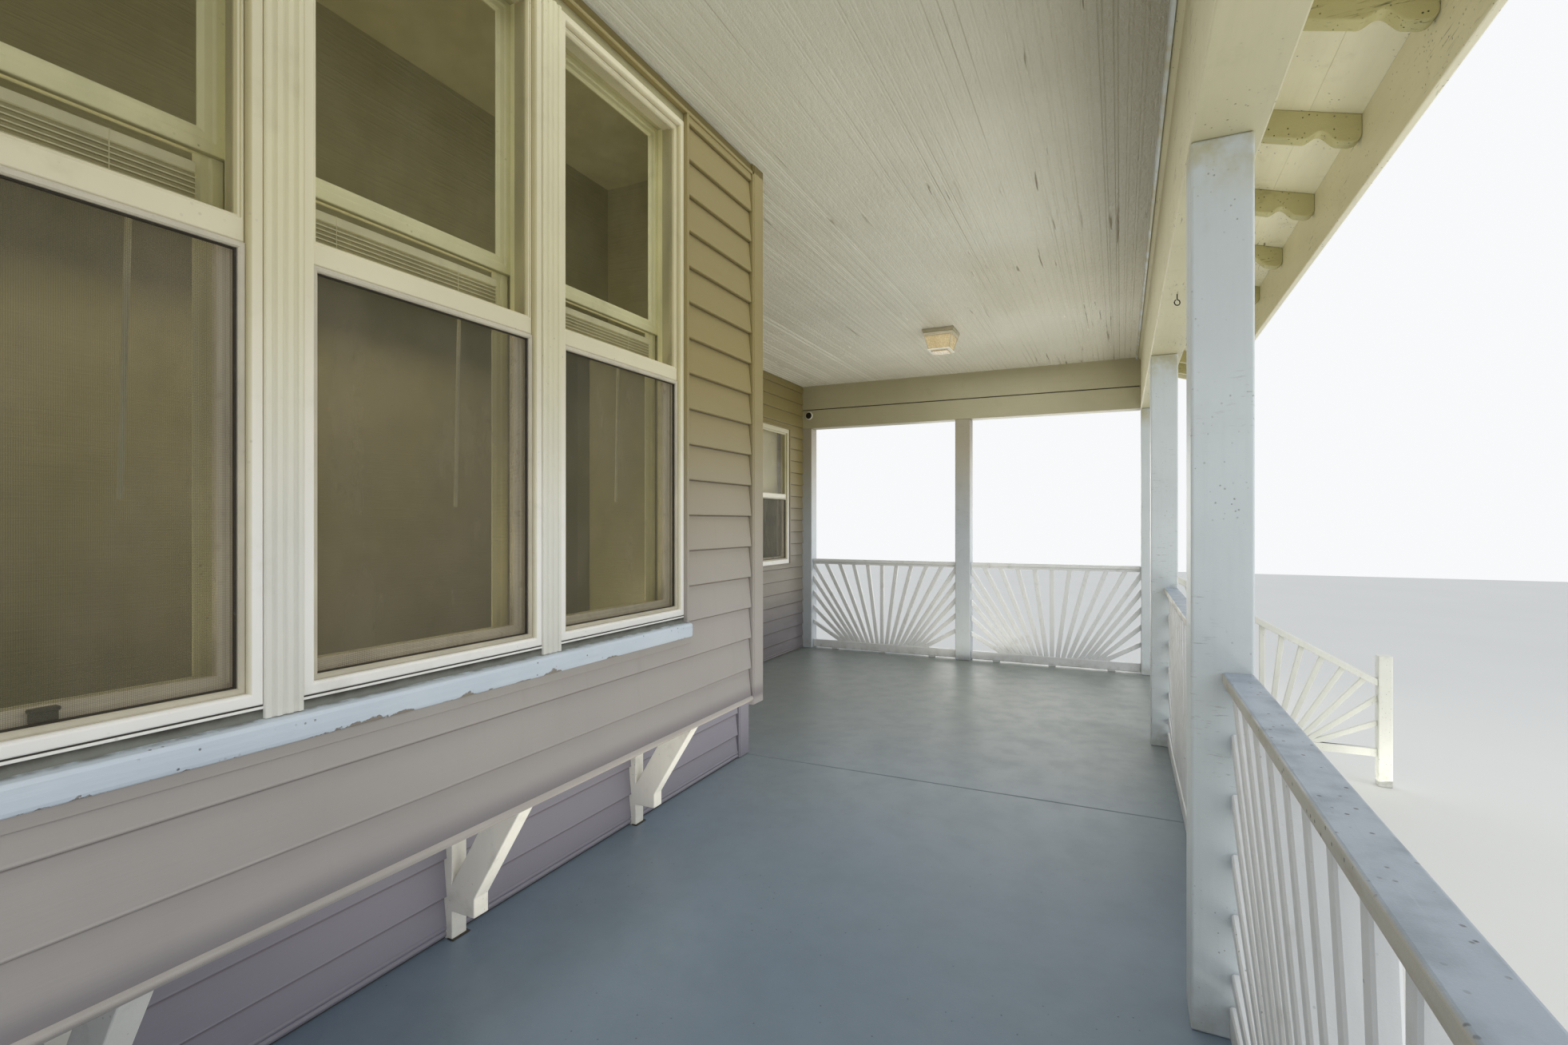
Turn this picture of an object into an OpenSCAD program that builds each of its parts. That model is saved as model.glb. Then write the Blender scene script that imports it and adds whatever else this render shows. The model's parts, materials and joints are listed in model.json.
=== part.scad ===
/* [Plan] */
// Spacing of the front posts along the two railed bays
bay_spacing = 2592; // [2300:1:2900]
// Spacing of the front posts either side of the stairs
stair_spacing = 2134; // [1700:1:2500]
// Side of the square posts
post_w = 140; // [110:1:180]
// Thickness of the house walls
wall_t = 140; // [100:1:200]
// Depth of the entrance alcove behind the main wall face
alcove_d = 1088; // [800:1:1500]
// Length of the entrance alcove, from the main wall corner to the far end
alcove_w = 3419; // [3250:1:3700]
// Clear depth of the deck, from the main wall to the front posts
deck_clear = 2098; // [1800:1:2600]

/* [Heights] */
// Height of the deck above the ground
deck_h = 712; // [600:1:860]
// Height of the ceiling above the deck
ceiling_h = 2730; // [2600:1:3000]
// Height of the beam's underside above the deck
beam_h = 2292; // [2100:1:2400]
// Height of the rail caps above the deck
rail_h = 930; // [860:1:1070]

/* [Bay window] */
// Length of the bay along the porch
bay_l = 2860; // [2700:1:3000]
// Projection of the bay in front of the main wall
bay_d = 598; // [400:1:700]
// Gap between the near end header and the bay
bay_gap = 44; // [35:1:80]
// Height of the bay's underside above the deck
bay_h = 610; // [450:1:700]
// Thickness of the bay's floor
bay_floor_t = 110; // [60:1:160]
// Width of each bay window
win_w = 587; // [500:1:640]
// Height of each bay window's foot above the deck
win_sill_h = 997; // [900:1:1150]
// Height of each bay window's head above the deck
win_head_h = 2663; // [2300:1:2700]
// Height of the meeting rails above the deck, at mid rail
meeting_h = 1808; // [1600:1:2000]
// Width of the mullion covers between the windows
mullion_w = 65; // [50:1:90]
// Wall left between the last window and the bay's far corner
bay_pier = 533; // [400:1:560]
// Width of the window frames
frame_w = 22; // [16:1:45]
// Depth of the window frames
frame_d = 70; // [50:1:90]
// Width of the sash stiles and rails
sash_w = 13; // [10:1:60]
// Height of the meeting rails
meeting_w = 48; // [40:1:80]
// Thickness of a sash
sash_t = 26; // [20:1:40]
// Thickness of the glass
glass_t = 4; // [3:1:8]
// Distance between the outer windows and the sashes inside them
inner_gap = 30; // [5:1:40]
// Width of the inner sashes' members
inner_w = 45; // [30:1:60]
// Height of the stack of blinds
stack_h = 80; // [40:1:110]
// Gap between the inner meeting rails and the stacks below them
stack_gap = 22; // [10:1:40]
// Depth of the stack of blinds
stack_d = 22; // [15:1:25]
// Thickness of the mullion covers
cover_t = 9; // [8:1:20]
// Radius of the flutes in the mullion covers
flute_r = 5; // [3:0.5:7]
// Spacing of the flutes
flute_step = 18; // [12:0.5:24]
// Rise of the inner meeting rails above the outer ones
inner_rise = 166; // [120:1:200]
// Thickness of the bay's sill board
sill_t = 48; // [30:1:60]
// Projection of the sill board in front of the bay
sill_out = 30; // [20:1:60]
// How far the sill board runs past the windows
sill_side = 12; // [0:1:40]
// Gap between the sill board and the windows above it
sill_gap = 24; // [15:1:60]

/* [Bay brackets] */
// Width of a bracket along the wall
bracket_w = 55; // [38:1:90]
// Thickness of a bracket's board on the wall
bracket_t = 40; // [30:1:60]
// Reach of a bracket from the wall, at the bay's underside
bracket_reach = 424; // [300:1:500]
// Depth of the brace measured level
brace_w = 114; // [80:1:150]
// Reach of the brace's plumb cut foot
brace_foot = 136; // [100:1:180]
// Height of the brace's foot above the deck
brace_low = 90; // [60:1:140]
// Height of the brace's plumb cut
brace_cut = 60; // [30:1:90]

/* [Trim] */
// Face width of the bay's corner posts
bay_corner_w = 88; // [45:1:120]
// Face width of the main wall's corner post
wall_corner_w = 115; // [80:1:140]
// How far corner posts stand proud of a wall
corner_out = 22; // [15:1:30]
// How far a bay corner post hangs below the bay
corner_drop = 22; // [0:1:40]
// Depth of a wall pilaster
pilaster_d = 110; // [80:1:140]
// Offset of the far end's middle post from the middle
mid_shift = 21; // [0:1:60]

/* [Beam and headers] */
// Width of the boxed front beam
beam_w = 170; // [150:1:200]
// How far the beam stands proud of the posts' inner face
beam_in = 4; // [0:1:20]
// Height of the end headers' lower board
header_board = 188; // [140:1:240]
// Depth of the shadow gap between the header's boards
header_gap = 8; // [4:1:15]
// Size of the trim between beam and ceiling
cove = 24; // [15:1:40]
// Thickness of the ceiling boards
ceiling_t = 15; // [10:1:25]

/* [Roof] */
// Slope of the roof in degrees
roof_pitch = 17; // [14:0.5:20]
// Reach of the rafter tails past the beam
tail_reach = 365; // [280:1:450]
// Clearance between the ceiling boards and the roof boards at the beam
roof_clear = 27; // [10:1:120]
// Depth of the rafter tails, measured plumb
tail_d = 93; // [80:1:120]
// Thickness of the rafter tails
tail_t = 50; // [38:1:60]
// Spacing of the rafter tails
tail_spacing = 610; // [400:1:700]
// Distance of the second tail from the near end
tail_start = 259; // [120:1:500]
// Radius of the rounded nose of a tail
nose_r = 34; // [25:1:40]
// Distance of the hollow from a tail's end
scoop_start = 60; // [50:1:90]
// Width of the hollow cut in a tail
scoop_w = 94; // [60:1:120]
// Depth of the hollow cut in a tail
scoop_d = 28; // [15:1:36]
// Height of the fascia
fascia_h = 252; // [200:1:300]
// Thickness of the fascia
fascia_t = 23; // [18:1:30]
// How far the fascia hangs below the tails' ends
fascia_drop = 139; // [80:1:160]
// Thickness of the roof boards
roof_t = 22; // [18:1:30]
// Thickness of the shingles
shingle_t = 12; // [8:1:20]
// Overhang of the roof past the end headers
rake_out = 150; // [100:1:300]
// Height of the rake boards
rake_h = 120; // [90:1:160]
// Thickness of the rake boards
rake_t = 25; // [18:1:35]
// How far the shingles overhang the fascia and the rakes
drip = 18; // [10:1:30]

/* [Deck and stairs] */
// Thickness of the deck boards
deck_t = 40; // [25:1:50]
// Overhang of the deck past the posts
deck_out = 39; // [25:1:60]
// Open joint between the two deck panels
deck_seam = 3; // [2:1:8]
// Height of the rim board
rim_h = 235; // [180:1:290]
// Thickness of the rim board
rim_t = 38; // [30:1:50]
// Setback of the rim behind the deck's edge
rim_back = 20; // [10:1:40]
// Thickness of the skirt below the rim
skirt_t = 20; // [15:1:30]
// Number of risers
risers = 4; // [3:1:4]
// Depth of each tread, without its nosing
tread_run = 320; // [260:1:350]
// Nosing of each tread
nosing = 25; // [15:1:35]
// Thickness of the treads
tread_t = 38; // [30:1:50]
// Thickness of the riser boards
riser_t = 20; // [15:1:25]
// Thickness of the stringers
stringer_t = 40; // [30:1:50]
// Length of a stringer's foot on the ground
stringer_foot = 240; // [180:1:300]
// Height of a stringer's lower edge at the deck
stringer_rise = 258; // [200:1:300]

/* [Railings] */
// Width of the rail caps
cap_w = 70; // [60:1:110]
// Thickness of the rail caps
cap_t = 30; // [20:1:40]
// How far the rail caps' centre lies outside the posts' centre
cap_shift = 34; // [0:1:34]
// Height of the top rails under their caps
top_rail_h = 22; // [15:1:60]
// Height of the bottom rails
bottom_rail_h = 76; // [45:1:90]
// Thickness of the rails
rail_t = 38; // [30:1:50]
// Clearance below the bottom rails
rail_lift = 12; // [6:1:60]
// Width of a ray of the sunburst
ray_w = 38; // [25:1:45]
// Thickness of a ray
ray_t = 30; // [19:1:36]
// Spacing of the rays' upper ends along the frame
ray_top = 150; // [120:1:220]
// Spacing of the rays' lower ends along the bottom rail
ray_low = 48; // [42:1:60]
// Clearance between a railing and the posts
rail_fit = 0.5; // [0:0.5:3]
// Side of the newel
newel_w = 89; // [76:1:120]
// Distance of the newel from the far corner post
newel_reach = 1484; // [1200:1:1700]
// Height of the newel above the ground
newel_h = 1002; // [900:1:1200]
// Slope of the stair handrail in degrees
stair_slope = 29; // [25:0.5:32]
// Height of the stair railing's bottom rail above the ground
stair_rail_low = 222; // [150:1:300]
// Height of the stair handrail, measured plumb
handrail_h = 55; // [40:1:80]
// Height of the stair railing's bottom rail
stair_low_h = 60; // [40:1:90]
// Spacing of the stair rays' upper ends, measured level
stair_ray_top = 132; // [110:1:180]
// Spacing of the stair rays' ends down the two sides
stair_ray_side = 190; // [140:1:240]

/* [Alcove] */
// Width of the front door's leaf
door_w = 915; // [810:1:1000]
// Height of the front door's leaf
door_h = 2032; // [1950:1:2100]
// Height of the door's threshold
threshold_h = 15; // [10:1:30]
// Clearance beside and above the door's leaf
door_fit = 2; // [1:0.5:4]
// Thickness of the front door's leaf
door_t = 45; // [35:1:55]
// Columns of panels in the door
panel_cols = 2; // [1:1:3]
// Rows of panels in the door
panel_rows = 3; // [2:1:4]
// Width of the door's stiles and rails
stile_w = 110; // [80:1:130]
// Depth of the door's panels
panel_depth = 8; // [4:1:15]
// Thickness of the door's jambs
jamb_t = 38; // [20:1:45]
// Distance from the alcove's near wall to the door opening
door_place = 600; // [300:1:700]
// Width of the door's casing
casing_w = 100; // [70:1:130]
// Thickness of the casings
casing_t = 20; // [15:1:30]
// Width of the alcove's window
alcove_win_w = 810; // [600:1:900]
// Height of the alcove window's foot above the deck
alcove_win_sill = 900; // [800:1:1000]
// Height of the alcove window's head above the deck
alcove_win_head = 2245; // [2000:1:2300]
// Distance from the alcove's window to the far end
alcove_win_end = 466; // [380:1:600]
// Thickness of the room's floor
floor_t = 100; // [60:1:150]
// Height of the alcove window's frame members
alcove_frame_w = 42; // [30:1:60]

/* [Lamp] */
// Side of the lamp's base plate
lamp_w = 230; // [180:1:280]
// Thickness of the lamp's base plate
lamp_base_t = 40; // [20:1:50]
// Depth of the lamp's glass
lamp_d = 120; // [80:1:180]
// Rim of the base plate left round the lamp's glass
lamp_rim = 10; // [5:1:25]
// Side of the lamp's foot as a share of its top
lamp_taper = 0.7; // [0.5:0.05:0.9]
// Distance of the lamp from the far end
lamp_end = 1704; // [1200:1:2200]
// Distance of the lamp from the back wall
lamp_back = 1820; // [1400:1:2200]

/* [Hidden] */

porch_l = 2 * bay_spacing + stair_spacing + post_w;
x_near = -porch_l / 2;
x_far = porch_l / 2;
post_x = [
    x_near,
    x_near + bay_spacing,
    x_near + 2 * bay_spacing,
    x_far - post_w
];

y_back = (wall_t + alcove_d + deck_clear + post_w + newel_reach + newel_w) / 2;
y_alcove = y_back - wall_t;
y_main = y_alcove - alcove_d;
y_bay = y_main - bay_d;
y_post = y_main - deck_clear;
y_post_out = y_post - post_w;
y_beam = y_post + beam_in;
y_beam_out = y_beam - beam_w;
y_fascia = y_beam_out - tail_reach;
y_deck_edge = y_post_out - deck_out;
y_rim = y_deck_edge + rim_back;

x_corner = x_far - alcove_w;
x_bay = x_near + post_w + bay_gap;
x_bay_end = x_bay + bay_l;

z_deck = deck_h;
z_ceiling = z_deck + ceiling_h;
z_beam = z_deck + beam_h;
z_bay = z_deck + bay_h;
z_cap = z_deck + rail_h;
z_rail_clear = z_deck + rail_lift + bottom_rail_h;
z_rail_top = z_cap - cap_t;

slope = tan(roof_pitch);
z_tail = z_ceiling + ceiling_t + roof_clear - tail_d - slope * (y_beam - y_fascia);
function roof_z(y) = z_tail + tail_d + slope * (y - y_fascia);

win_group_end = x_bay_end - bay_pier;
function win_x(i) = win_group_end - win_w - i * (win_w + mullion_w);
z_win = z_deck + win_sill_h;
z_win_head = z_deck + win_head_h;
z_meeting = z_deck + meeting_h;

y_mid_post = (y_post + y_alcove - pilaster_d) / 2 - mid_shift;

stair_w = stair_spacing - post_w;
riser_h = deck_h / risers;

door_x = x_corner + door_place;
door_open_w = door_w + 2 * (jamb_t + door_fit);
door_open_h = threshold_h + door_h + door_fit + jamb_t;
alcove_win_x = x_far - alcove_win_end - alcove_win_w;
z_alcove_win = z_deck + alcove_win_sill;
z_alcove_head = z_deck + alcove_win_head;
z_alcove_mid = (z_alcove_win + z_alcove_head) / 2;
z_sill = z_win - sill_gap - sill_t;

white = [0.86, 0.88, 0.87];
cream = [0.84, 0.82, 0.72];
taupe = [0.62, 0.59, 0.56];
deck_paint = [0.39, 0.45, 0.48];
cap_paint = [0.55, 0.59, 0.64];

// A box between two opposite corners
module slab(low, high) {
    translate(low) cube(high - low);
}

// An outline in depth and height, given a width along the porch from x
module cross(points, x, w) {
    translate([x, 0, 0]) rotate([90, 0, 90]) linear_extrude(height = w) polygon(points);
}

module front_post(i) {
    color(white) slab(
        [post_x[i], y_post_out, z_deck],
        [post_x[i] + post_w, y_post, z_beam]);
}

module mid_post() {
    color(white) slab(
        [x_far - post_w, y_mid_post - post_w / 2, z_deck],
        [x_far, y_mid_post + post_w / 2, z_beam]);
}

module pilasters() {
    color(white) {
        slab([x_near, y_main - pilaster_d, z_deck], [x_near + post_w, y_main, z_beam]);
        slab([x_far - post_w, y_alcove - pilaster_d, z_deck], [x_far, y_alcove, z_beam]);
    }
}

// Boxed beam with a sloping top that carries the roof boards
module front_beam() {
    color(cream) union() {
        cross([
            [y_beam, z_beam],
            [y_beam, roof_z(y_beam)],
            [y_beam_out, roof_z(y_beam_out)],
            [y_beam_out, z_beam]
        ], x_near, porch_l);
        cross([
            [y_beam, z_ceiling],
            [y_beam, z_ceiling - cove],
            [y_beam + cove, z_ceiling]
        ], x_near + post_w, porch_l - 2 * post_w);
    }
}

module header(x, y_wall) {
    color(cream) slab([x, y_beam, z_beam], [x + post_w, y_wall, z_beam + header_board]);
}

// Frieze above the header, carried up as the gable to the roof
module gable(x, y_wall) {
    z_low = z_beam + header_board;
    color(cream) union() {
        cross([
            [y_beam, z_low + header_gap],
            [y_wall, z_low + header_gap],
            [y_wall, roof_z(y_wall)],
            [y_beam, roof_z(y_beam)]
        ], x, post_w);
        slab(
            [x + header_gap, y_beam, z_low],
            [x + post_w - header_gap, y_wall, z_low + header_gap]);
    }
}

module ceiling() {
    color(cream) slab(
        [x_near + post_w, y_beam, z_ceiling],
        [x_far - post_w, y_alcove, z_ceiling + ceiling_t]);
}

lamp_x = x_far - lamp_end;
lamp_y = y_alcove - lamp_back;

module lamp_base() {
    color(white) slab(
        [lamp_x - lamp_w / 2, lamp_y - lamp_w / 2, z_ceiling - lamp_base_t],
        [lamp_x + lamp_w / 2, lamp_y + lamp_w / 2, z_ceiling]);
}

// Four-sided glass that narrows downwards
module lamp_glass() {
    side = lamp_w - 2 * lamp_rim;
    color([0.75, 0.62, 0.4, 0.8])
    translate([lamp_x, lamp_y, z_ceiling - lamp_base_t - lamp_d])
    rotate([0, 0, 45])
    cylinder(h = lamp_d, r1 = side * lamp_taper / sqrt(2), r2 = side / sqrt(2), $fn = 4);
}

tail_count = floor((porch_l - tail_start - 2 * tail_t) / tail_spacing);

curve_steps = 16;

// Rafter tail with a bell-shaped hollow and a rounded nose cut in its end
module rafter_tail(x) {
    function low_z(s, cut) = roof_z(y_fascia + s) - tail_d + cut;
    nose = [
        for (k = [0:curve_steps])
        let (s = nose_r * (1 - cos(90 * k / curve_steps)))
        [y_fascia + s, low_z(s, nose_r * (1 - sin(90 * k / curve_steps)))]
    ];
    scoop = [
        for (k = [0:2 * curve_steps])
        let (s = scoop_start + scoop_w * k / (2 * curve_steps))
        [y_fascia + s, low_z(s, scoop_d * (1 - cos(180 * k / curve_steps)) / 2)]
    ];
    cross(concat(nose, scoop, [
        [y_beam_out, roof_z(y_beam_out) - tail_d],
        [y_beam_out, roof_z(y_beam_out)],
        [y_fascia, roof_z(y_fascia)]
    ]), x, tail_t);
}

module rafter_tails() {
    color(cream) {
        rafter_tail(x_near);
        for (i = [0:tail_count]) rafter_tail(x_near + tail_start + i * tail_spacing);
        rafter_tail(x_far - tail_t);
    }
}

module roof_layer(front, back, ends, low, high) {
    cross([
        [front, roof_z(front) + low],
        [back, roof_z(back) + low],
        [back, roof_z(back) + high],
        [front, roof_z(front) + high]
    ], x_near - ends, porch_l + 2 * ends);
}

module roof_boards() {
    color(cream) roof_layer(y_fascia, y_back, rake_out, 0, roof_t);
}

module roof_shingles() {
    color([0.32, 0.32, 0.33])
    roof_layer(
        y_fascia - fascia_t - drip, y_back, rake_out + rake_t + drip,
        roof_t, roof_t + shingle_t);
}

module fascia() {
    z_low = z_tail - fascia_drop;
    color(cream) cross([
        [y_fascia, z_low],
        [y_fascia, roof_z(y_fascia) + roof_t],
        [y_fascia - fascia_t, roof_z(y_fascia - fascia_t) + roof_t],
        [y_fascia - fascia_t, z_low]
    ], x_near - rake_out - rake_t, porch_l + 2 * (rake_out + rake_t));
}

// Sloping boards that close the roof's two ends
module rake_boards() {
    color(cream)
    for (x = [x_near - rake_out - rake_t, x_far + rake_out])
    cross([
        [y_fascia, roof_z(y_fascia) + roof_t - rake_h],
        [y_back, roof_z(y_back) + roof_t - rake_h],
        [y_back, roof_z(y_back) + roof_t],
        [y_fascia, roof_z(y_fascia) + roof_t]
    ], x, rake_t);
}

module deck_near() {
    color(deck_paint) slab(
        [x_near - deck_out, y_deck_edge, z_deck - deck_t],
        [x_corner - deck_seam, y_main, z_deck]);
}

module deck_far() {
    color(deck_paint) slab(
        [x_corner, y_deck_edge, z_deck - deck_t],
        [x_far + deck_out, y_alcove, z_deck]);
}

x_rim = x_near - deck_out + rim_back;
z_rim = z_deck - deck_t;

// Rim board with the board skirt set back below it
module skirt_front() {
    color(white) union() {
        slab([x_rim, y_rim, z_rim - rim_h], [-x_rim, y_rim + rim_t, z_rim]);
        slab(
            [x_rim + rim_t, y_rim + rim_t - skirt_t, 0],
            [-x_rim - rim_t, y_rim + rim_t, z_rim - rim_h]);
    }
}

module skirt_end(x, dir, y_wall) {
    near = min(x, x + dir * rim_t);
    inner = min(x + dir * (rim_t - skirt_t), x + dir * rim_t);
    color(white) union() {
        slab([near, y_rim + rim_t, z_rim - rim_h], [near + rim_t, y_wall, z_rim]);
        slab([inner, y_rim + rim_t, 0], [inner + skirt_t, y_wall, z_rim - rim_h]);
    }
}

stair_x = post_x[2] + post_w;
function tread_top(i) = deck_h - i * riser_h;
function tread_y(i) = y_rim - i * tread_run;

// Sawtooth stringer with a sloping lower edge
module stringer(x) {
    teeth = [
        for (i = [1:risers - 1]) each [
            [tread_y(i - 1) + (i == 1 ? 0 : riser_t), tread_top(i) - tread_t],
            [tread_y(i) + riser_t, tread_top(i) - tread_t]
        ]
    ];
    foot = tread_y(risers - 1) + riser_t;
    cross(concat(teeth, [
        [foot, 0],
        [foot + stringer_foot, 0],
        [y_rim, stringer_rise]
    ]), x, stringer_t);
}

module stair_stringers() {
    inner_w = stair_w - stringer_t;
    color(white)
    for (i = [0:2]) stringer(stair_x + i * inner_w / 2);
}

module stair_treads() {
    color(deck_paint)
    for (i = [1:risers - 1]) slab(
        [stair_x, tread_y(i) - nosing, tread_top(i) - tread_t],
        [stair_x + stair_w, tread_y(i - 1), tread_top(i)]);
}

module stair_risers() {
    color(white)
    for (i = [1:risers - 1]) slab(
        [stair_x, tread_y(i), i == risers - 1 ? 0 : tread_top(i + 1) - tread_t],
        [stair_x + stair_w, tread_y(i) + riser_t, tread_top(i) - tread_t]);
}

// Flat outline of a ray of width ray_w, run on past both its end points
module ray(a, b) {
    d = b - a;
    translate(a) rotate(atan2(d.y, d.x))
    translate([-ray_w, -ray_w / 2]) square([norm(d) + 2 * ray_w, ray_w]);
}

// Sunburst between two rails: rays rise from the middle of the bottom rail
// and end at even steps along the top rail and down the sides
module sunburst(w, h) {
    n = floor((w / 2 + h - 1.5 * ray_w) / ray_top);
    translate([0, 0, -ray_t / 2]) linear_extrude(height = ray_t) intersection() {
        for (i = [-n:n]) {
            s = abs(i) * ray_top;
            end = s <= w / 2 ? [s, h] : [w / 2, h - (s - w / 2)];
            ray([i * ray_low, 0], [sign(i) * end.x, end.y]);
        }
        translate([-w / 2, 0]) square([w, h]);
    }
}

// Railing panel, drawn upright in the XY plane and centred on its width
module panel(w, with_cap) {
    h = z_rail_top - top_rail_h - z_rail_clear;
    union() {
        translate([-w / 2, -bottom_rail_h, -rail_t / 2]) cube([w, bottom_rail_h, rail_t]);
        sunburst(w, h);
        translate([-w / 2, h, -rail_t / 2]) cube([w, top_rail_h, rail_t]);
        if (with_cap)
        translate([-w / 2, h + top_rail_h, -cap_w / 2]) cube([w, cap_t, cap_w]);
    }
}

y_rail = y_post - post_w / 2 - cap_shift;

module front_rail(i) {
    w = bay_spacing - post_w - 2 * rail_fit;
    color(white)
    translate([post_x[i] + post_w + rail_fit + w / 2, y_rail, z_rail_clear])
    rotate([90, 0, 0]) panel(w, false);
}

module front_rail_caps() {
    color(cap_paint)
    for (i = [0:1]) slab(
        [post_x[i] + post_w + rail_fit, y_rail - cap_w / 2, z_rail_top],
        [post_x[i + 1] - rail_fit, y_rail + cap_w / 2, z_cap]);
}

module end_rail(x, y_low, y_high) {
    w = y_high - y_low - 2 * rail_fit;
    color(white)
    translate([x, (y_low + y_high) / 2, z_rail_clear])
    rotate([90, 0, 90]) panel(w, true);
}

newel_y = y_post_out - newel_reach;
newel_x = x_far - post_w / 2;

// Stair railing: a sloping handrail above rays that spread from a level rail
module stair_rail() {
    w = newel_reach - 2 * rail_fit;
    mid = w / 2;
    low = stair_rail_low + stair_low_h;
    fall = tan(stair_slope);
    n_top = floor(mid / stair_ray_top);
    deck_end = deck_out + rail_fit;
    skirt_end = deck_out - rim_back - rim_t + skirt_t;
    function under(s) = z_cap - handrail_h - fall * s;
    color(white)
    translate([newel_x, y_post_out - rail_fit, 0])
    rotate([90, 0, -90])
    union() {
        translate([0, 0, -cap_w / 2]) linear_extrude(height = cap_w) polygon([
            [0, under(0)],
            [w, under(w)],
            [w, under(w) + handrail_h],
            [0, z_cap]
        ]);
        translate([skirt_end, stair_rail_low, -rail_t / 2])
        cube([w - skirt_end, stair_low_h, rail_t]);
        translate([0, 0, -ray_t / 2]) linear_extrude(height = ray_t) intersection() {
            for (i = [-n_top - 2:n_top + 2]) {
                drop = (abs(i) - n_top - 0.5) * stair_ray_side;
                side = i < 0 ? 0 : w;
                top_s = mid + i * stair_ray_top;
                end = abs(i) <= n_top ? [top_s, under(top_s)] : [side, under(side) - drop];
                ray([mid + i * ray_low, low], end);
            }
            polygon([
                [deck_end, low],
                [w, low],
                [w, under(w)],
                [0, under(0)],
                [0, z_deck + rail_fit],
                [deck_end, z_deck + rail_fit]
            ]);
        }
    }
}

module newel() {
    color(white) slab(
        [newel_x - newel_w / 2, newel_y - newel_w, 0],
        [newel_x + newel_w / 2, newel_y, newel_h]);
}

module wall_under_bay() {
    color(taupe) slab([x_near + post_w, y_main, 0], [x_corner, y_main + wall_t, z_bay]);
}

module wall_before_bay() {
    color(taupe) slab([x_near + post_w, y_main, z_bay], [x_bay, y_main + wall_t, z_ceiling]);
}

module wall_past_bay() {
    color(taupe) slab([x_bay_end, y_main, z_bay], [x_corner, y_main + wall_t, z_ceiling]);
}

module return_wall() {
    color(taupe) slab(
        [x_corner - wall_t, y_main + wall_t, 0],
        [x_corner, y_alcove, z_ceiling]);
}

// Rear wall with the openings of the front door and the alcove's window
module back_wall() {
    color(taupe) difference() {
        cross([
            [y_alcove, 0],
            [y_back, 0],
            [y_back, roof_z(y_back)],
            [y_alcove, roof_z(y_alcove)]
        ], x_near, porch_l);
        slab(
            [door_x, y_alcove - 1, z_deck],
            [door_x + door_open_w, y_back + 1, z_deck + door_open_h]);
        slab(
            [alcove_win_x, y_alcove - 1, z_alcove_win],
            [alcove_win_x + alcove_win_w, y_back + 1, z_alcove_head]);
    }
}

module party_wall() {
    color(taupe) cross([
        [y_main, 0],
        [y_alcove, 0],
        [y_alcove, roof_z(y_alcove)],
        [y_main, roof_z(y_main)]
    ], x_near, post_w);
}

module room_floor() {
    color([0.5, 0.38, 0.26]) slab(
        [x_near + post_w, y_main + wall_t, z_deck - floor_t],
        [x_corner - wall_t, y_alcove, z_deck]);
}

module bay_front() {
    color(taupe) difference() {
        slab([x_bay, y_bay, z_bay], [x_bay_end, y_bay + wall_t, z_ceiling]);
        for (i = [0:2]) slab(
            [win_x(i), y_bay - 1, z_win],
            [win_x(i) + win_w, y_bay + wall_t + 1, z_win_head]);
    }
}

module bay_ends() {
    color(taupe)
    for (x = [x_bay, x_bay_end - wall_t]) slab(
        [x, y_bay + wall_t, z_bay],
        [x + wall_t, y_main + wall_t, z_ceiling]);
}

module bay_floor() {
    color(taupe) slab(
        [x_bay + wall_t, y_bay + wall_t, z_bay],
        [x_bay_end - wall_t, y_main + wall_t, z_bay + bay_floor_t]);
}

// A sash with its pane left open
module sash(x, y, w, z_low, z_high, low_rail, high_rail) {
    difference() {
        slab([x, y, z_low], [x + w, y + sash_t, z_high]);
        slab(
            [x + sash_w, y - 1, z_low + low_rail],
            [x + w - sash_w, y + sash_t + 1, z_high - high_rail]);
    }
}

// A frame with an outer upper sash and an inner lower sash
module double_hung(x, w, y, z_low, z_high, z_mid, frame) {
    sash_x = x + frame;
    open_w = w - 2 * frame;
    union() {
        difference() {
            slab([x, y, z_low], [x + w, y + frame_d, z_high]);
            slab(
                [sash_x, y - 1, z_low + frame],
                [sash_x + open_w, y + frame_d + 1, z_high - frame]);
        }
        sash(sash_x, y + frame_d / 2 - sash_t, open_w,
            z_mid - meeting_w / 2, z_high - frame, meeting_w, sash_w);
        sash(sash_x, y + frame_d / 2, open_w,
            z_low + frame, z_mid + meeting_w / 2, sash_w, meeting_w);
    }
}

// The two panes of such a window
module panes(x, w, y, z_low, z_high, z_mid, frame) {
    side = frame + sash_w;
    slab(
        [x + side, y + frame_d / 2 - sash_t / 2, z_mid + meeting_w / 2],
        [x + w - side, y + frame_d / 2 - sash_t / 2 + glass_t, z_high - side]);
    slab(
        [x + side, y + frame_d / 2 + sash_t / 2, z_low + side],
        [x + w - side, y + frame_d / 2 + sash_t / 2 + glass_t, z_mid - meeting_w / 2]);
}

module bay_windows() {
    color(white)
    for (i = [0:2]) double_hung(win_x(i), win_w, y_bay, z_win, z_win_head, z_meeting, frame_w);
}

module alcove_window() {
    color(white) double_hung(
        alcove_win_x, alcove_win_w, y_alcove, z_alcove_win, z_alcove_head,
        z_alcove_mid, alcove_frame_w);
}

module window_glass() {
    color([0.35, 0.38, 0.33, 0.5]) {
        for (i = [0:2]) panes(win_x(i), win_w, y_bay, z_win, z_win_head, z_meeting, frame_w);
        panes(
            alcove_win_x, alcove_win_w, y_alcove, z_alcove_win, z_alcove_head,
            z_alcove_mid, alcove_frame_w);
    }
}

y_inner = y_bay + frame_d + inner_gap;
z_inner_mid = z_meeting + inner_rise;

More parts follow.
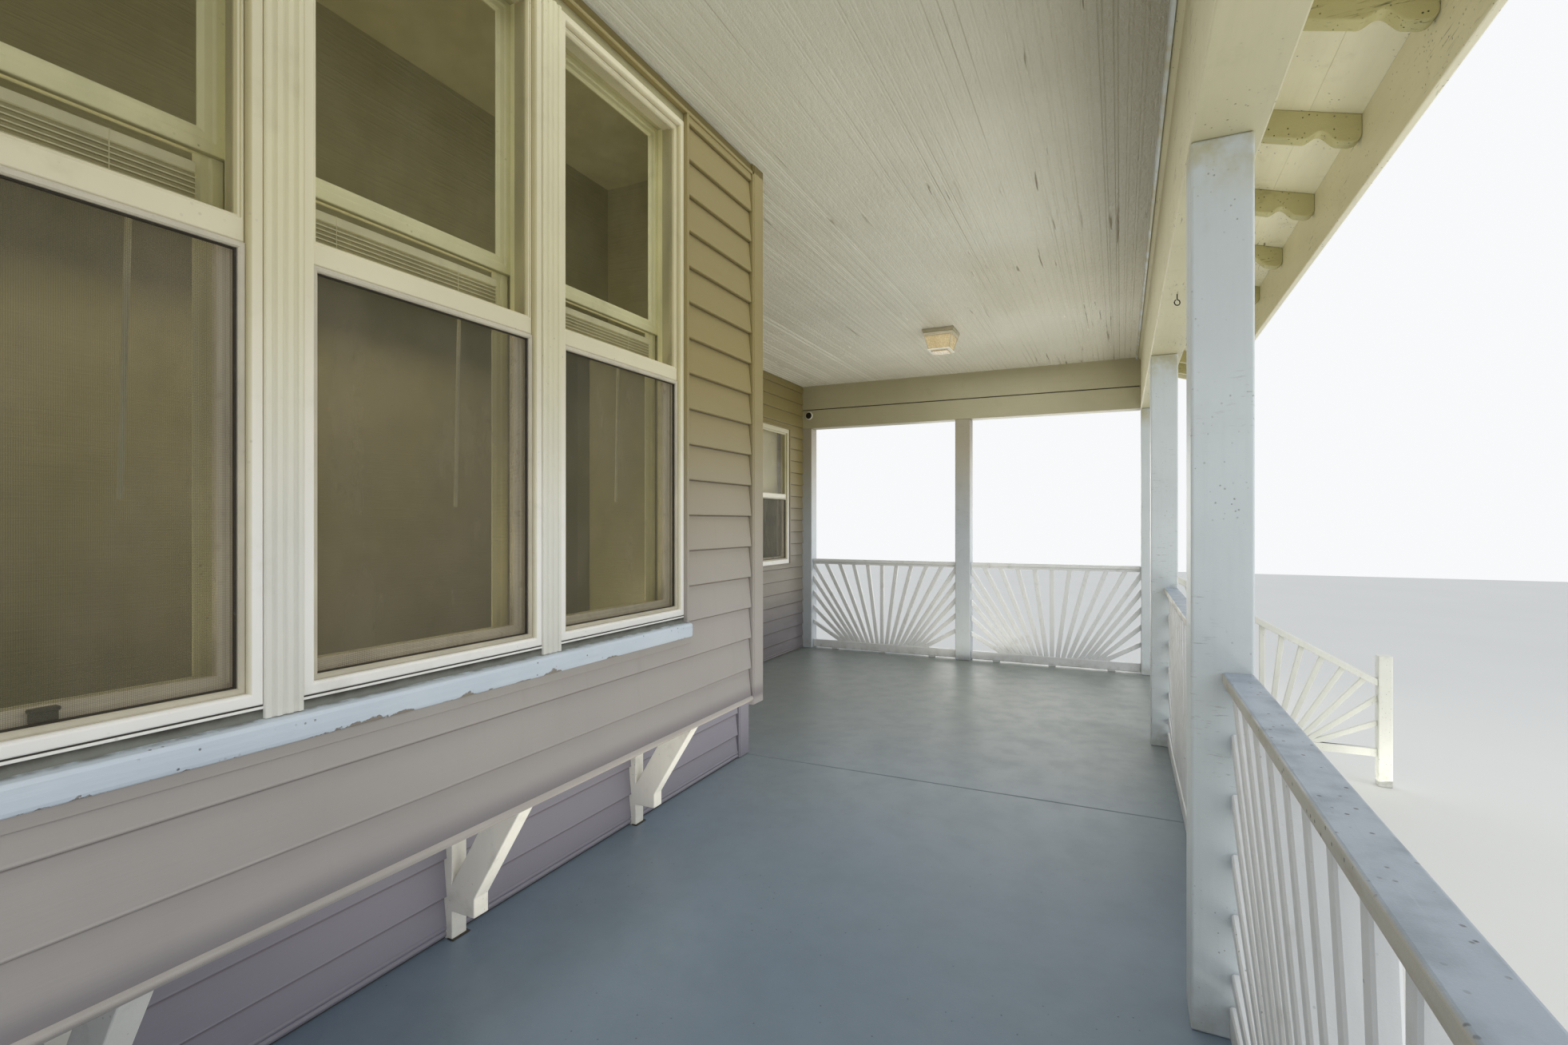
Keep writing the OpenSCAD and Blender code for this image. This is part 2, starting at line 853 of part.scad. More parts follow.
// Second sashes, close behind the bay's windows
module inner_sashes() {
    color([0.72, 0.69, 0.55])
    for (i = [0:2]) difference() {
        slab([win_x(i), y_inner, z_win], [win_x(i) + win_w, y_inner + sash_t, z_win_head]);
        slab(
            [win_x(i) + inner_w, y_inner - 1, z_win + inner_w],
            [win_x(i) + win_w - inner_w, y_inner + sash_t + 1, z_inner_mid - inner_w / 2]);
        slab(
            [win_x(i) + inner_w, y_inner - 1, z_inner_mid + inner_w / 2],
            [win_x(i) + win_w - inner_w, y_inner + sash_t + 1, z_win_head - inner_w]);
    }
}

// Raised blinds, stacked below the inner sashes' meeting rails
module blinds() {
    z_top = z_inner_mid - inner_w / 2 - stack_gap;
    color([0.8, 0.78, 0.68])
    for (i = [0:2]) slab(
        [win_x(i) + inner_w, y_inner, z_top - stack_h],
        [win_x(i) + win_w - inner_w, y_inner + stack_d, z_top]);
}

// Covers with three flutes, standing on the sill board
module mullion_covers() {
    color(white)
    for (i = [0:1]) difference() {
        slab(
            [win_x(i) - mullion_w, y_bay - cover_t, z_sill + sill_t],
            [win_x(i), y_bay, z_win_head]);
        for (k = [-1:1])
        translate([win_x(i) - mullion_w / 2 + k * flute_step, y_bay - cover_t, z_sill])
        cylinder(r = flute_r, h = z_ceiling, $fn = 24);
    }
}

module bay_sill() {
    color(white) slab(
        [win_x(2) - sill_side, y_bay - sill_out, z_sill],
        [win_group_end + sill_side, y_bay, z_sill + sill_t]);
}

// A board on the wall and a brace with plumb and level cuts, as one outline
module bracket(x) {
    brace_slope = (bay_h - brace_low - brace_cut) / (bracket_reach - brace_foot);
    crotch = bay_h - brace_slope * (bracket_reach - brace_w - bracket_t);
    outline = [
        [0, 0],
        [bracket_t, 0],
        [bracket_t, brace_low],
        [brace_foot, brace_low],
        [brace_foot, brace_low + brace_cut],
        [bracket_reach, bay_h],
        [bracket_reach - brace_w, bay_h],
        [bracket_t, crotch],
        [bracket_t, bay_h],
        [0, bay_h]
    ];
    cross([for (p = outline) [y_main - p.x, z_deck + p.y]], x, bracket_w);
}

module bay_brackets() {
    step = (bay_l - bracket_w) / 3;
    color(white)
    for (i = [0:3]) bracket(x_bay + i * step);
}

// An outside corner post wrapped round a wall's corner
module corner_post(x, dir, y, w, z_low) {
    x_out = x + dir * corner_out;
    x_in = x - dir * (w - corner_out);
    union() {
        slab([min(x_in, x_out), y - corner_out, z_low], [max(x_in, x_out), y, z_ceiling]);
        slab([min(x, x_out), y, z_low], [max(x, x_out), y + w - corner_out, z_ceiling]);
    }
}

module corner_posts() {
    color(taupe) {
        corner_post(x_bay, -1, y_bay, bay_corner_w, z_bay - corner_drop);
        corner_post(x_bay_end, 1, y_bay, bay_corner_w, z_bay - corner_drop);
        corner_post(x_corner, 1, y_main, wall_corner_w, z_deck);
    }
}

// Door leaf with sunk panels on its outer face
module front_door() {
    x = door_x + jamb_t + door_fit;
    z = z_deck + threshold_h;
    y = y_alcove + (wall_t - door_t) / 2;
    pw = (door_w - (panel_cols + 1) * stile_w) / panel_cols;
    ph = (door_h - (panel_rows + 1) * stile_w) / panel_rows;
    color([0.45, 0.2, 0.16]) difference() {
        slab([x, y, z], [x + door_w, y + door_t, z + door_h]);
        for (i = [0:panel_cols - 1], j = [0:panel_rows - 1])
        translate([x + stile_w + i * (pw + stile_w), y - 1, z + stile_w + j * (ph + stile_w)])
        cube([pw, panel_depth + 1, ph]);
    }
}

// Jambs and threshold in the wall, with casing boards on its outer face
module door_casing() {
    x_end = door_x + door_open_w;
    z_top = z_deck + door_open_h;
    color(white) union() {
        difference() {
            slab([door_x, y_alcove, z_deck], [x_end, y_back, z_top]);
            slab(
                [door_x + jamb_t, y_alcove - 1, z_deck + threshold_h],
                [x_end - jamb_t, y_back + 1, z_top - jamb_t]);
        }
        difference() {
            slab(
                [door_x + jamb_t - casing_w, y_alcove - casing_t, z_deck],
                [x_end - jamb_t + casing_w, y_alcove, z_top - jamb_t + casing_w]);
            slab(
                [door_x + jamb_t, y_alcove - casing_t - 1, z_deck - 1],
                [x_end - jamb_t, y_alcove + 1, z_top - jamb_t]);
        }
    }
}

front_post(0);  // post_1
front_post(1);  // post_2
front_post(2);  // post_3
front_post(3);  // post_4
mid_post();
pilasters();
front_beam();
header(x_near, y_main);  // near_header
header(x_far - post_w, y_alcove);  // far_header
gable(x_near, y_main);  // near_gable
gable(x_far - post_w, y_alcove);  // far_gable
ceiling();
lamp_base();
lamp_glass();
rafter_tails();
roof_boards();
roof_shingles();
fascia();
rake_boards();
deck_near();
deck_far();
skirt_front();
skirt_end(x_rim, 1, y_main);  // skirt_near
skirt_end(-x_rim, -1, y_alcove);  // skirt_far
stair_stringers();
stair_treads();
stair_risers();
front_rail(0);  // front_rail_1
front_rail(1);  // front_rail_2
front_rail_caps();
end_rail(x_far - post_w / 2, y_mid_post + post_w / 2, y_alcove - pilaster_d);  // far_rail_left
end_rail(x_far - post_w / 2, y_post, y_mid_post - post_w / 2);  // far_rail_right
end_rail(x_near + post_w / 2, y_post, y_main - pilaster_d);  // near_rail
stair_rail();
newel();
wall_under_bay();
wall_before_bay();
wall_past_bay();
return_wall();
back_wall();
party_wall();
room_floor();
bay_front();
bay_ends();
bay_floor();
bay_windows();
window_glass();
inner_sashes();
blinds();
mullion_covers();
bay_sill();
bay_brackets();
corner_posts();
alcove_window();
front_door();
door_casing();
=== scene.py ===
import json
import math

import bmesh
import bpy
import numpy as np
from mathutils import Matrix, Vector

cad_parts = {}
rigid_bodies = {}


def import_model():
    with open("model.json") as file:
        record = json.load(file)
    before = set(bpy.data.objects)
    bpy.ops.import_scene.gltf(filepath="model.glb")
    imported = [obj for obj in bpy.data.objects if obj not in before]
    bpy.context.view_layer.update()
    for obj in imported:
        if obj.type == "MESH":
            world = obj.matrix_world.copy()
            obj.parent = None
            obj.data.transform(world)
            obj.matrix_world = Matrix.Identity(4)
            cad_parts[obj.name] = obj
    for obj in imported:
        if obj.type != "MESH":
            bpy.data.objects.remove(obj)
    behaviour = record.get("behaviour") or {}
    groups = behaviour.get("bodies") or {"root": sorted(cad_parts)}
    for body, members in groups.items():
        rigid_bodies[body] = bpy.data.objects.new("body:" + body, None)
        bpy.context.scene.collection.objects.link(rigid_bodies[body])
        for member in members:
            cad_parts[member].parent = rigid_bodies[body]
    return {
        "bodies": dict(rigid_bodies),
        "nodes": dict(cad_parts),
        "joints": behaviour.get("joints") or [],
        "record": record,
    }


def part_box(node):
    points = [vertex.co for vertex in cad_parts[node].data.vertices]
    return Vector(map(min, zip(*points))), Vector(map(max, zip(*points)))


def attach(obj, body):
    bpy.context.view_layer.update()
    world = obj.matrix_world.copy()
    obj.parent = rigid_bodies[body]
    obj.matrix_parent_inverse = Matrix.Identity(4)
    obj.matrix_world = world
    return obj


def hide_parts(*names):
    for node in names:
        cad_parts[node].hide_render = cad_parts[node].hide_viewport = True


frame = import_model()
nodes = frame["nodes"]
scene = bpy.context.scene
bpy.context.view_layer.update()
print("frame loaded:", len(nodes), "nodes")


def corners(name):
    low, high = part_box(name)
    return np.array(low), np.array(high)


cameraView = {
    "place": (-3.245, -0.6405, 2.022),
    "yaw": 25.28,  # degrees from +X towards +Y, looking level
    "lens": 16.32,  # millimetres on the sensor's width
    "sensor": 36,
    "nearest": 0.02,  # closest thing it sees
}
camera = bpy.data.objects.new("photoCamera", bpy.data.cameras.new("photoCamera"))
scene.collection.objects.link(camera)
camera.data.lens, camera.data.sensor_width = cameraView["lens"], cameraView["sensor"]
camera.data.sensor_fit = "HORIZONTAL"
camera.data.clip_start = cameraView["nearest"]
camera.location = cameraView["place"]
camera.rotation_euler = (math.radians(90), 0, math.radians(cameraView["yaw"] - 90))
scene.camera = camera
scene.view_settings.view_transform = "Standard"

porch = {
    "deckTop": corners("deck_near")[1][2],
    "ceiling": corners("ceiling")[0][2],
    "corner": corners("deck_far")[0][0],
    "mainWall": corners("wall_under_bay")[0][1],
    "alcoveWall": corners("back_wall")[0][1],
    "bayFront": corners("bay_front")[0][1],
    "bayFoot": corners("bay_front")[0][2] + 0.014,  # where the bay's siding begins
    "outerEnd": corners("party_wall")[0][0],
}
finishes = {}


def linear(red, green, blue, share=1.0):  # sRGB out of 255 as the shader's RGBA, times a share
    level = np.array([red, green, blue]) / 255
    tone = np.where(level <= 0.04045, level / 12.92, ((level + 0.055) / 1.055) ** 2.4)
    return (*(float(v) * share for v in tone), 1.0)


def arithmetic(kind, swapped=False):  # one of Python's operators as a Math node
    def method(self, other):
        first, second = (other, self) if swapped else (self, other)
        return self.graph.node("ShaderNodeMath", {"operation": kind}, {0: first, 1: second})

    return method


class Value:  # one output of a node, with Python's own arithmetic
    def __init__(self, graph, out):
        self.graph, self.out = graph, out

    __add__, __radd__ = arithmetic("ADD"), arithmetic("ADD", True)
    __sub__, __rsub__ = arithmetic("SUBTRACT"), arithmetic("SUBTRACT", True)
    __mul__, __rmul__ = arithmetic("MULTIPLY"), arithmetic("MULTIPLY", True)
    __truediv__ = arithmetic("DIVIDE")
    __mod__ = arithmetic("FLOORED_MODULO")


class Graph:  # the nodes of a material or of the world
    def __init__(self, owner):
        owner.use_nodes = True
        self.owner, self.tree = owner, owner.node_tree
        self.tree.nodes.clear()

    def node(self, kind, settings=None, sockets=None, output=0):
        made = self.tree.nodes.new(kind)
        for key, setting in (settings or {}).items():
            setattr(made, key, setting)
        for key, value in (sockets or {}).items():
            if isinstance(value, Value):
                self.tree.links.new(value.out, made.inputs[key])
            else:
                made.inputs[key].default_value = value
        return Value(self, made.outputs[output]) if made.outputs else None


class Paint(Graph):  # a material, its pattern and its finish
    def __init__(self, name):
        super().__init__(bpy.data.materials.new(name))
        self.name = name
        self.spot = self.node("ShaderNodeTexCoord", output="Object")
        self.x, self.y, self.z = self.parts(self.spot)

    def parts(self, vector):
        split = self.node("ShaderNodeSeparateXYZ", None, {0: vector}).out.node
        return [Value(self, out) for out in split.outputs]

    def facing(self, axis):  # the surface's own normal along an axis, 0 to 2
        return self.parts(self.node("ShaderNodeNewGeometry", output="Normal"))[axis]

    def cloud(self, scale, detail=3.0, stretch=None):  # even noise about one half
        spot = self.spot
        if stretch:
            spot = self.node("ShaderNodeMapping", None, {"Vector": spot, "Scale": stretch})
        return self.node(
            "ShaderNodeTexNoise", None, {"Vector": spot, "Scale": scale, "Detail": detail, "Roughness": 0.6})

    def cells(self, scale):  # distance to the nearest of many scattered points
        return self.node("ShaderNodeTexVoronoi", None, {"Vector": self.spot, "Scale": scale})

    def fade(self, value, start, end):  # 0 at start, 1 at end, smooth between and level past both
        return self.node(
            "ShaderNodeMapRange", {"interpolation_type": "SMOOTHSTEP"},
            {"Value": value, "From Min": start, "From Max": end})

    def patches(self, start, end, *cloud):  # the parts of a cloud past start, full from end on
        return self.fade(self.cloud(*cloud), start, end)

    def specks(self, scale, outer, inner, *where):  # dots round scattered points, inside patches only
        return self.fade(self.cells(scale), outer, inner) * self.patches(*where)

    def perStep(self, value):  # one random number for each whole step of a value
        whole = self.node("ShaderNodeMath", {"operation": "FLOOR"}, {0: value})
        return self.node("ShaderNodeTexWhiteNoise", {"noise_dimensions": "1D"}, {"W": whole})

    def mix(self, way, share, first, second):  # colours, so it goes through a Mix node
        return self.node(
            "ShaderNodeMix", {"data_type": "RGBA", "blend_type": way}, {0: share, 6: first, 7: second}, 2)

    def blend(self, share, *pair):  # each is a Value or sRGB out of 255, with a share if it isn't 1
        return self.mix("MIX", share, *(c if isinstance(c, Value) else linear(*c) for c in pair))

    def tint(self, share, tone, veil):  # multiplies a colour, so its pattern stays
        return self.mix("MULTIPLY", share, tone, (*veil, 1.0))

    def layers(self, tone, *coats):  # each coat is (share, colour) and lies over the last
        for share, colour in coats:
            tone = self.blend(share, tone, colour)
        return tone

    def finish(self, tone, rough, height=None, depth=0.001, **fixed):
        sockets = {"Base Color": tone, "Roughness": rough, **fixed}
        if height is not None:
            sockets["Normal"] = self.node("ShaderNodeBump", None, {"Height": height, "Distance": depth})
        surface = self.node("ShaderNodeBsdfPrincipled", None, sockets)
        self.node("ShaderNodeOutputMaterial", None, {"Surface": surface})
        finishes[self.name] = self.owner


brushed = {  # what a brushed paint has unless it says otherwise
    "grain": (1, 1, 0.08), "streak": 0.25, "specks": 0.5, "dirtFrom": 0.5, "dirt": 0.3, "foot": 0.6,
    "footHeight": 0.3, "ground": porch["deckTop"], "cracks": 0.0, "crackScale": 150,
    "crackGrain": (0.09, 0.09, 1), "orangePeel": 0.4, "relief": 0.0008,
}
postWear = {"streak": 0.22, "footHeight": 0.2, "cracks": 0.4, "crackScale": 240, "relief": 0.0011}
trimWear = {
    "grime": (128, 118, 84), "rough": 0.36, "grain": (0.08, 1, 1), "specks": 0.75, "dirtFrom": 0.46,
    "dirt": 0.15, "cracks": 0.6, "crackGrain": (0.08, 1, 1), "relief": 0.0012,
}
vinylWear = {
    "grime": (150, 142, 112), "rough": 0.3, "streak": 0.04, "specks": 0.25, "dirt": 0.2, "foot": 0.0,
    "orangePeel": 0.15, "relief": 0.0004,
}
brushedLooks = {
    # a darker, greyer copy of the post paint: painted shade on the far posts, and on their upper part painted
    # shade that grows darker and warmer towards the top
    "farPostPaint": {
        **postWear, "colour": (184, 191, 198), "grime": (140, 134, 112), "rough": 0.36, "foot": 0.5,
        "dirt": 0.2, "upper": (porch["deckTop"] + 1.1, porch["deckTop"] + 2.2, (0.8, 0.66, 0.45))},
    "postPaint": {
        **postWear, "colour": (207, 215, 219), "grime": (160, 156, 140), "rough": 0.34, "dirt": 0.12,
        "head": corners("front_beam")[0][2]},
    # a darker copy of the trim paint, with painted shade on the faces that look down
    "beamPaint": {**trimWear, "colour": (227, 220, 189), "below": (0.79, 0.79, 0.73)},
    "trimPaint": {**trimWear, "colour": (235, 229, 201)},
    # a lighter copy of the trim paint: painted light on the roof boards' underside
    "soffitPaint": {
        **trimWear, "colour": (248, 243, 216), "grime": (140, 128, 92), "rough": 0.4, "specks": 0.8,
        "dirtFrom": 0.44, "dirt": 0.2, "cracks": 0.8, "crackScale": 120, "crackGrain": (0.12, 1, 1)},
    # a darker copy of the trim paint: painted shade on the headers and gables
    "friezePaint": {
        "colour": (178, 171, 141), "grime": (150, 138, 100), "rough": 0.38, "grain": (1, 0.08, 1),
        "specks": 0.3, "dirt": 0.2, "relief": 0.0007},
    # a darker, yellower copy of the trim paint: painted shade on the rafter tails
    "tailPaint": {
        "colour": (199, 192, 142), "grime": (104, 96, 60), "rough": 0.5, "grain": (1, 0.1, 1), "specks": 0.9,
        "dirtFrom": 0.4, "dirt": 0.4, "cracks": 0.8, "crackGrain": (1, 0.1, 1), "relief": 0.002},
    "railPaint": {
        "colour": (226, 228, 230), "grime": (150, 146, 130), "rough": 0.36, "foot": 0.55, "footHeight": 0.1},
    "newelPaint": {
        "colour": (226, 227, 220), "grime": (128, 126, 108), "rough": 0.42, "footHeight": 0.22, "ground": 0.0,
        "specks": 0.7, "dirt": 0.2, "relief": 0.001},
    "bracketPaint": {
        "colour": (243, 241, 236), "grime": (120, 116, 106), "rough": 0.36, "foot": 0.3, "footHeight": 0.1,
        "specks": 0.6, "relief": 0.0009},
    "skirtPaint": {
        "colour": (208, 208, 200), "grime": (104, 98, 80), "rough": 0.5, "foot": 0.0, "specks": 0.6,
        "dirt": 0.6, "relief": 0.0012},
    # upper is painted shade, darker and warmer towards the top; shaded is painted shade on faces that look
    # back along the porch
    "coverWhite": {**vinylWear, "colour": (221, 220, 212), "upper": (1.85, 2.6, (0.9, 0.845, 0.62))},
    "windowWhite": {
        **vinylWear, "colour": (242, 240, 236), "upper": (1.85, 2.6, (0.75, 0.7, 0.51)),
        "shaded": (0.78, 0.76, 0.62)},
    # below is painted shade on the faces that look down
    "innerPaint": {
        "colour": (250, 244, 194), "grime": (150, 140, 96), "rough": 0.4, "foot": 0.0, "relief": 0.0005,
        "below": (0.5, 0.49, 0.46)},
    "doorPaint": {
        "colour": (122, 60, 50), "grime": (70, 40, 34), "rough": 0.28, "foot": 0.4, "relief": 0.0007},
}


def brushedPaint(name, look):
    # Brush marks along the grain, a slow drift of tone, dark specks where a second cloud is high,
    # hair cracks in short strokes, grime that climbs from the deck, a stain under the beam, and painted shade
    # towards the top and on faces that look back or down
    p, look = Paint(name), {**brushed, **look}
    colour, grime = look["colour"], look["grime"]
    drift = p.cloud(1.7, 4)
    brush = p.cloud(60, 3, look["grain"])
    specks = p.specks(55, 0.16, 0.1, look["dirtFrom"], look["dirtFrom"] + 0.16, 5.5, 3)
    cracks = p.patches(0.63, 0.7, look["crackScale"], 2, look["crackGrain"]) * p.patches(0.5, 0.62, 2.3, 3)
    cracks = cracks * look["cracks"]
    foot = p.fade(p.z, look["ground"] + look["footHeight"], look["ground"] - 0.02)
    foot = foot * p.patches(0.35, 0.75, 14, 5) * look["foot"]
    dirt = p.patches(0.55, 0.8, 9, 6) * look["dirt"]
    tone = p.layers(
        p.blend(p.fade(drift, 0.3, 0.7), (*colour, 0.93), (*colour, 1.03)),
        (p.fade(brush, 0.45, 0.75) * look["streak"], (*colour, 0.86)), (dirt, grime), (foot, grime),
        (specks * look["specks"], (*grime, 0.35)), (cracks, (*grime, 0.4)))
    if "head" in look:
        stain = p.fade(p.z, look["head"] - 0.2, look["head"]) * p.patches(0.4, 0.62, 6, 4)
        tone = p.blend(stain * 0.75, tone, (176, 168, 122))
    # painted shade: darker and warmer towards the top
    if "upper" in look:
        start, end, veil = look["upper"]
        tone = p.tint(p.fade(p.z, start, end), tone, veil)
    if "shaded" in look:  # painted shade on the reveals that look back along the porch
        tone = p.tint(p.fade(p.facing(0), -0.3, -0.8), tone, look["shaded"])
    # painted shade on the faces that look down
    if "below" in look:
        tone = p.tint(p.fade(p.facing(2), -0.5, -0.9), tone, look["below"])
    height = brush * 0.35 + p.cloud(420, 2) * look["orangePeel"] - specks * 0.8 - cracks * 1.2
    p.finish(tone, look["rough"] + drift * 0.12 + dirt * 0.3 + foot * 0.25, height, look["relief"])


for name, look in brushedLooks.items():
    brushedPaint(name, look)


def capPaint():  # grey-blue on top, whiter and browner on the sides, smudged where hands rest
    p = Paint("capPaint")
    smudge = p.patches(0.42, 0.72, 11, 6)
    specks = p.specks(48, 0.17, 0.08, 0.42, 0.55, 6, 2)
    upper = p.layers(
        p.blend(smudge * 0.5, (164, 176, 192), (134, 143, 154)),
        (p.patches(0.6, 0.78, 90, 4, (0.06, 1, 1)) * 0.4, (188, 197, 207)))
    side = p.blend(p.patches(0.45, 0.75, 30, 5, (0.15, 1, 1)) * 0.6, (190, 187, 178), (142, 128, 104))
    tone = p.layers(side, (p.fade(p.facing(2), 0.5, 0.85), upper), (specks * 0.8, (58, 54, 48)))
    height = p.cloud(70, 3, (0.08, 1, 1)) * 0.5 + p.cloud(420, 2) * 0.3 - specks * 0.7
    p.finish(tone, 0.36 + smudge * 0.25, height, 0.0009)


def deckPaint():  # smooth grey-blue, with worn pale drifts, dark specks and fine grit, and painted light that makes the far end lighter and greener
    p = Paint("deckPaint")
    drift = p.patches(0.32, 0.7, 0.9, 5)
    mottle = p.patches(0.35, 0.72, 7, 6)
    wear = p.patches(0.5, 0.75, 2.2, 7, (0.5, 1, 1))
    grit = p.specks(240, 0.22, 0.1, 0.45, 0.65, 12, 2)
    near = p.blend(drift, (121, 139, 159), (130, 147, 165))
    # painted light: the deck turns lighter and greener towards its far end
    far = p.blend(drift, (130, 136, 134), (138, 144, 140))
    tone = p.layers(
        near, (p.fade(p.x, -1.6, 2.4), far), (mottle * 0.2, (108, 122, 132)), (wear * 0.22, (142, 153, 158)),
        (p.specks(30, 0.1, 0.045, 0.5, 0.62, 3.5, 2) * 0.7, (52, 56, 56)), (grit * 0.25, (168, 172, 168)))
    height = p.cloud(160, 4) * 0.5 + p.cloud(18, 3) * 0.6 + grit * 0.4
    p.finish(tone, 0.36 + mottle * 0.08 + wear * 0.1, height, 0.0006)


sidingLook = {
    "pitch": 0.1205,  # from one lap to the next
    "line": 1.566,  # height of one lap's lower edge
    "out": 0.0165,  # reach of a lap's lower edge
    "tuck": 0.004,  # reach where the next lap covers it
    "lip": 0.0038,  # rounding of the lower edge
    "header": 0.04,  # strip under the ceiling
}


def sidingVinyl(name, lapped):  # taupe with a pressed grain and chalky drifts, a painted shadow line with some dust under each lap, and painted shade towards the ceiling, near the deck, in the alcove and above the bay's foot
    p, bayFoot = Paint(name), porch["bayFoot"]
    chalk = p.patches(0.48, 0.78, 6, 6, (0.4, 0.4, 1.6))
    outerEnd = porch["outerEnd"]
    under = 0.2 + p.fade(p.x, outerEnd, outerEnd + 0.03) * 0.8  # the end wall outside stays plain taupe
    tone = p.layers(
        p.blend(p.patches(0.3, 0.7, 1.1, 4), (164, 158, 155), (172, 166, 162)),
        (chalk * 0.2, (180, 175, 170)),
        (p.patches(0.55, 0.8, 16, 4, (1, 1, 0.1)) * 0.1, (122, 115, 104)),
        # painted shade: darker and warmer towards the ceiling, purple-grey towards the deck
        (p.fade(p.z, 1.5, 2.6) * under * 0.92, (140, 125, 70)),
        (p.fade(p.z, 1.5, 0.95) * under * 0.8, (126, 124, 142)))
    # painted shade low on the alcove's walls, deeper further in
    recessShade = p.fade(p.y, porch["mainWall"] + 0.1, porch["mainWall"] + 0.8) * p.fade(p.z, 2.7, 1.7)
    tone = p.tint(recessShade * under, tone, (0.66, 0.64, 0.56))
    # painted shade: a thin dark line, with some dust, just under each lap's lip
    rise = ((p.z - sidingLook["line"]) / sidingLook["pitch"]) % 1.0
    low = p.fade(p.z, bayFoot + 0.05, bayFoot - 0.05)  # where the lap lines' painted shade widens, under the bay
    dust = p.fade(rise, 0.945 + low * -0.05, 0.98) * (0.6 + p.cloud(24, 3) * 0.4) * lapped
    # painted shade on the bay's front just above its foot trim
    foot = p.fade(p.z, bayFoot + 0.05, bayFoot) * p.fade(p.y, porch["bayFront"] + 0.01, porch["bayFront"])
    foot = foot * p.fade(p.z, bayFoot - 0.02, bayFoot)
    tone = p.layers(tone, (dust, (92, 78, 66)), (foot * 0.55, (104, 98, 106)))
    height = p.cloud(110, 4, (0.05, 0.05, 1)) * 0.5 + p.cloud(3, 2) * 2.5
    p.finish(tone, 0.46 + chalk * 0.18, height, 0.0008)


def ceilingPaint(pitch, start):  # thick glossy cream, rusty lines in the grooves, streaks of bare wood, and painted shade over the near part and along the beam
    p = Paint("ceilingPaint")
    across = ((p.y - start) / pitch) % 0.5
    nearJoint = p.fade(across, 0.055, 0.0) + p.fade(across, 0.46, 0.5)
    stain = p.patches(0.4, 0.66, 2.4, 5, (0.25, 1, 1))
    opened = p.patches(0.58, 0.38, 11, 2, (0.05, 1, 1))  # grooves that the paint has left open
    peel = p.patches(0.64, 0.68, 40, 3, (0.035, 1, 1)) * p.patches(0.52, 0.62, 1.6, 2)
    tone = p.layers(
        p.blend(p.patches(0.3, 0.7, 1.3, 4), (232, 229, 213), (241, 238, 223)),
        (nearJoint * opened * (0.1 + stain * 0.5), (152, 138, 106)))
    # painted shade: tints that darken the near part of the ceiling, a band past its middle, and the corner by
    # the near end
    middle = p.fade(p.x, 0.4, 0.9) * p.fade(p.x, 2.1, 1.5) * p.fade(p.y, 0.4, 0.0)
    near = p.fade(p.x, -0.5, -1.0) * p.fade(p.y, 0.3, 0.0)
    for share, veil in (
            (p.fade(p.x, 2.6, 1.0), (0.84, 0.845, 0.84)), (middle, (0.88, 0.86, 0.78)),
            (near, (0.91, 0.91, 0.89))):
        tone = p.tint(share, tone, veil)
    beamShade = p.fade(p.y, -0.1, -0.8) * (0.1 + p.fade(p.x, 2.0, 0.0) * 0.65)  # painted shade along the beam, strongest at the near end
    tone = p.layers(tone, (beamShade, (134, 127, 105)), (peel * 0.75, (124, 110, 84)))
    height = p.cloud(70, 4, (0.4, 1, 1)) * 1.4 + p.cloud(230, 3) * 0.7 - peel * 0.8
    p.finish(tone, 0.25 + peel * 0.4, height, 0.0034)


def roofGranules():  # mineral grit in greys, with a tone for each tab and pale lichen drifts
    p = Paint("roofGranules")
    each = p.node("ShaderNodeAttribute", {"attribute_name": "tabTone"}, None, "Fac")
    tone = p.layers(
        p.blend(each, (74, 74, 76), (112, 110, 108)), (p.patches(0.4, 0.7, 420, 2) * 0.7, (150, 147, 142)),
        (p.patches(0.5, 0.75, 1.4, 6) * 0.35, (136, 138, 122)))
    p.finish(tone, 0.9, p.fade(p.cells(380), 0.5, 0.1), 0.0012)


def windowPane():  # dusty clear pane, darker in its drifts of grime
    p = Paint("windowPane")
    dust = p.patches(0.4, 0.75, 6, 5)
    film = p.patches(0.5, 0.8, 22, 5, (1, 1, 0.2))
    p.finish(p.blend(dust, (74, 76, 56), (98, 98, 76)), 0.05 + film * 0.08,
             IOR=1.3, Alpha=0.14 + dust * 0.05 + film * 0.03)


def insectScreen():  # woven wire: two sets of fine threads, thin where neither passes
    p = Paint("insectScreen")
    threadX, threadZ = (
        p.fade(turn, 0.3, 0.5) * p.fade(turn, 0.9, 0.7) for turn in ((p.x * 400) % 1.0, (p.z * 400) % 1.0))
    film = p.patches(0.4, 0.75, 7, 5, (1, 1, 0.35))
    tone = p.layers(
        p.blend(p.patches(0.32, 0.68, 2.1, 5), (80, 80, 62), (112, 106, 88)), (film * 0.5, (122, 112, 94)))
    weave = threadX + threadZ - threadX * threadZ
    p.finish(tone, 0.65, weave, 0.0003, Alpha=0.36 + film * 0.12 + weave * 0.24)


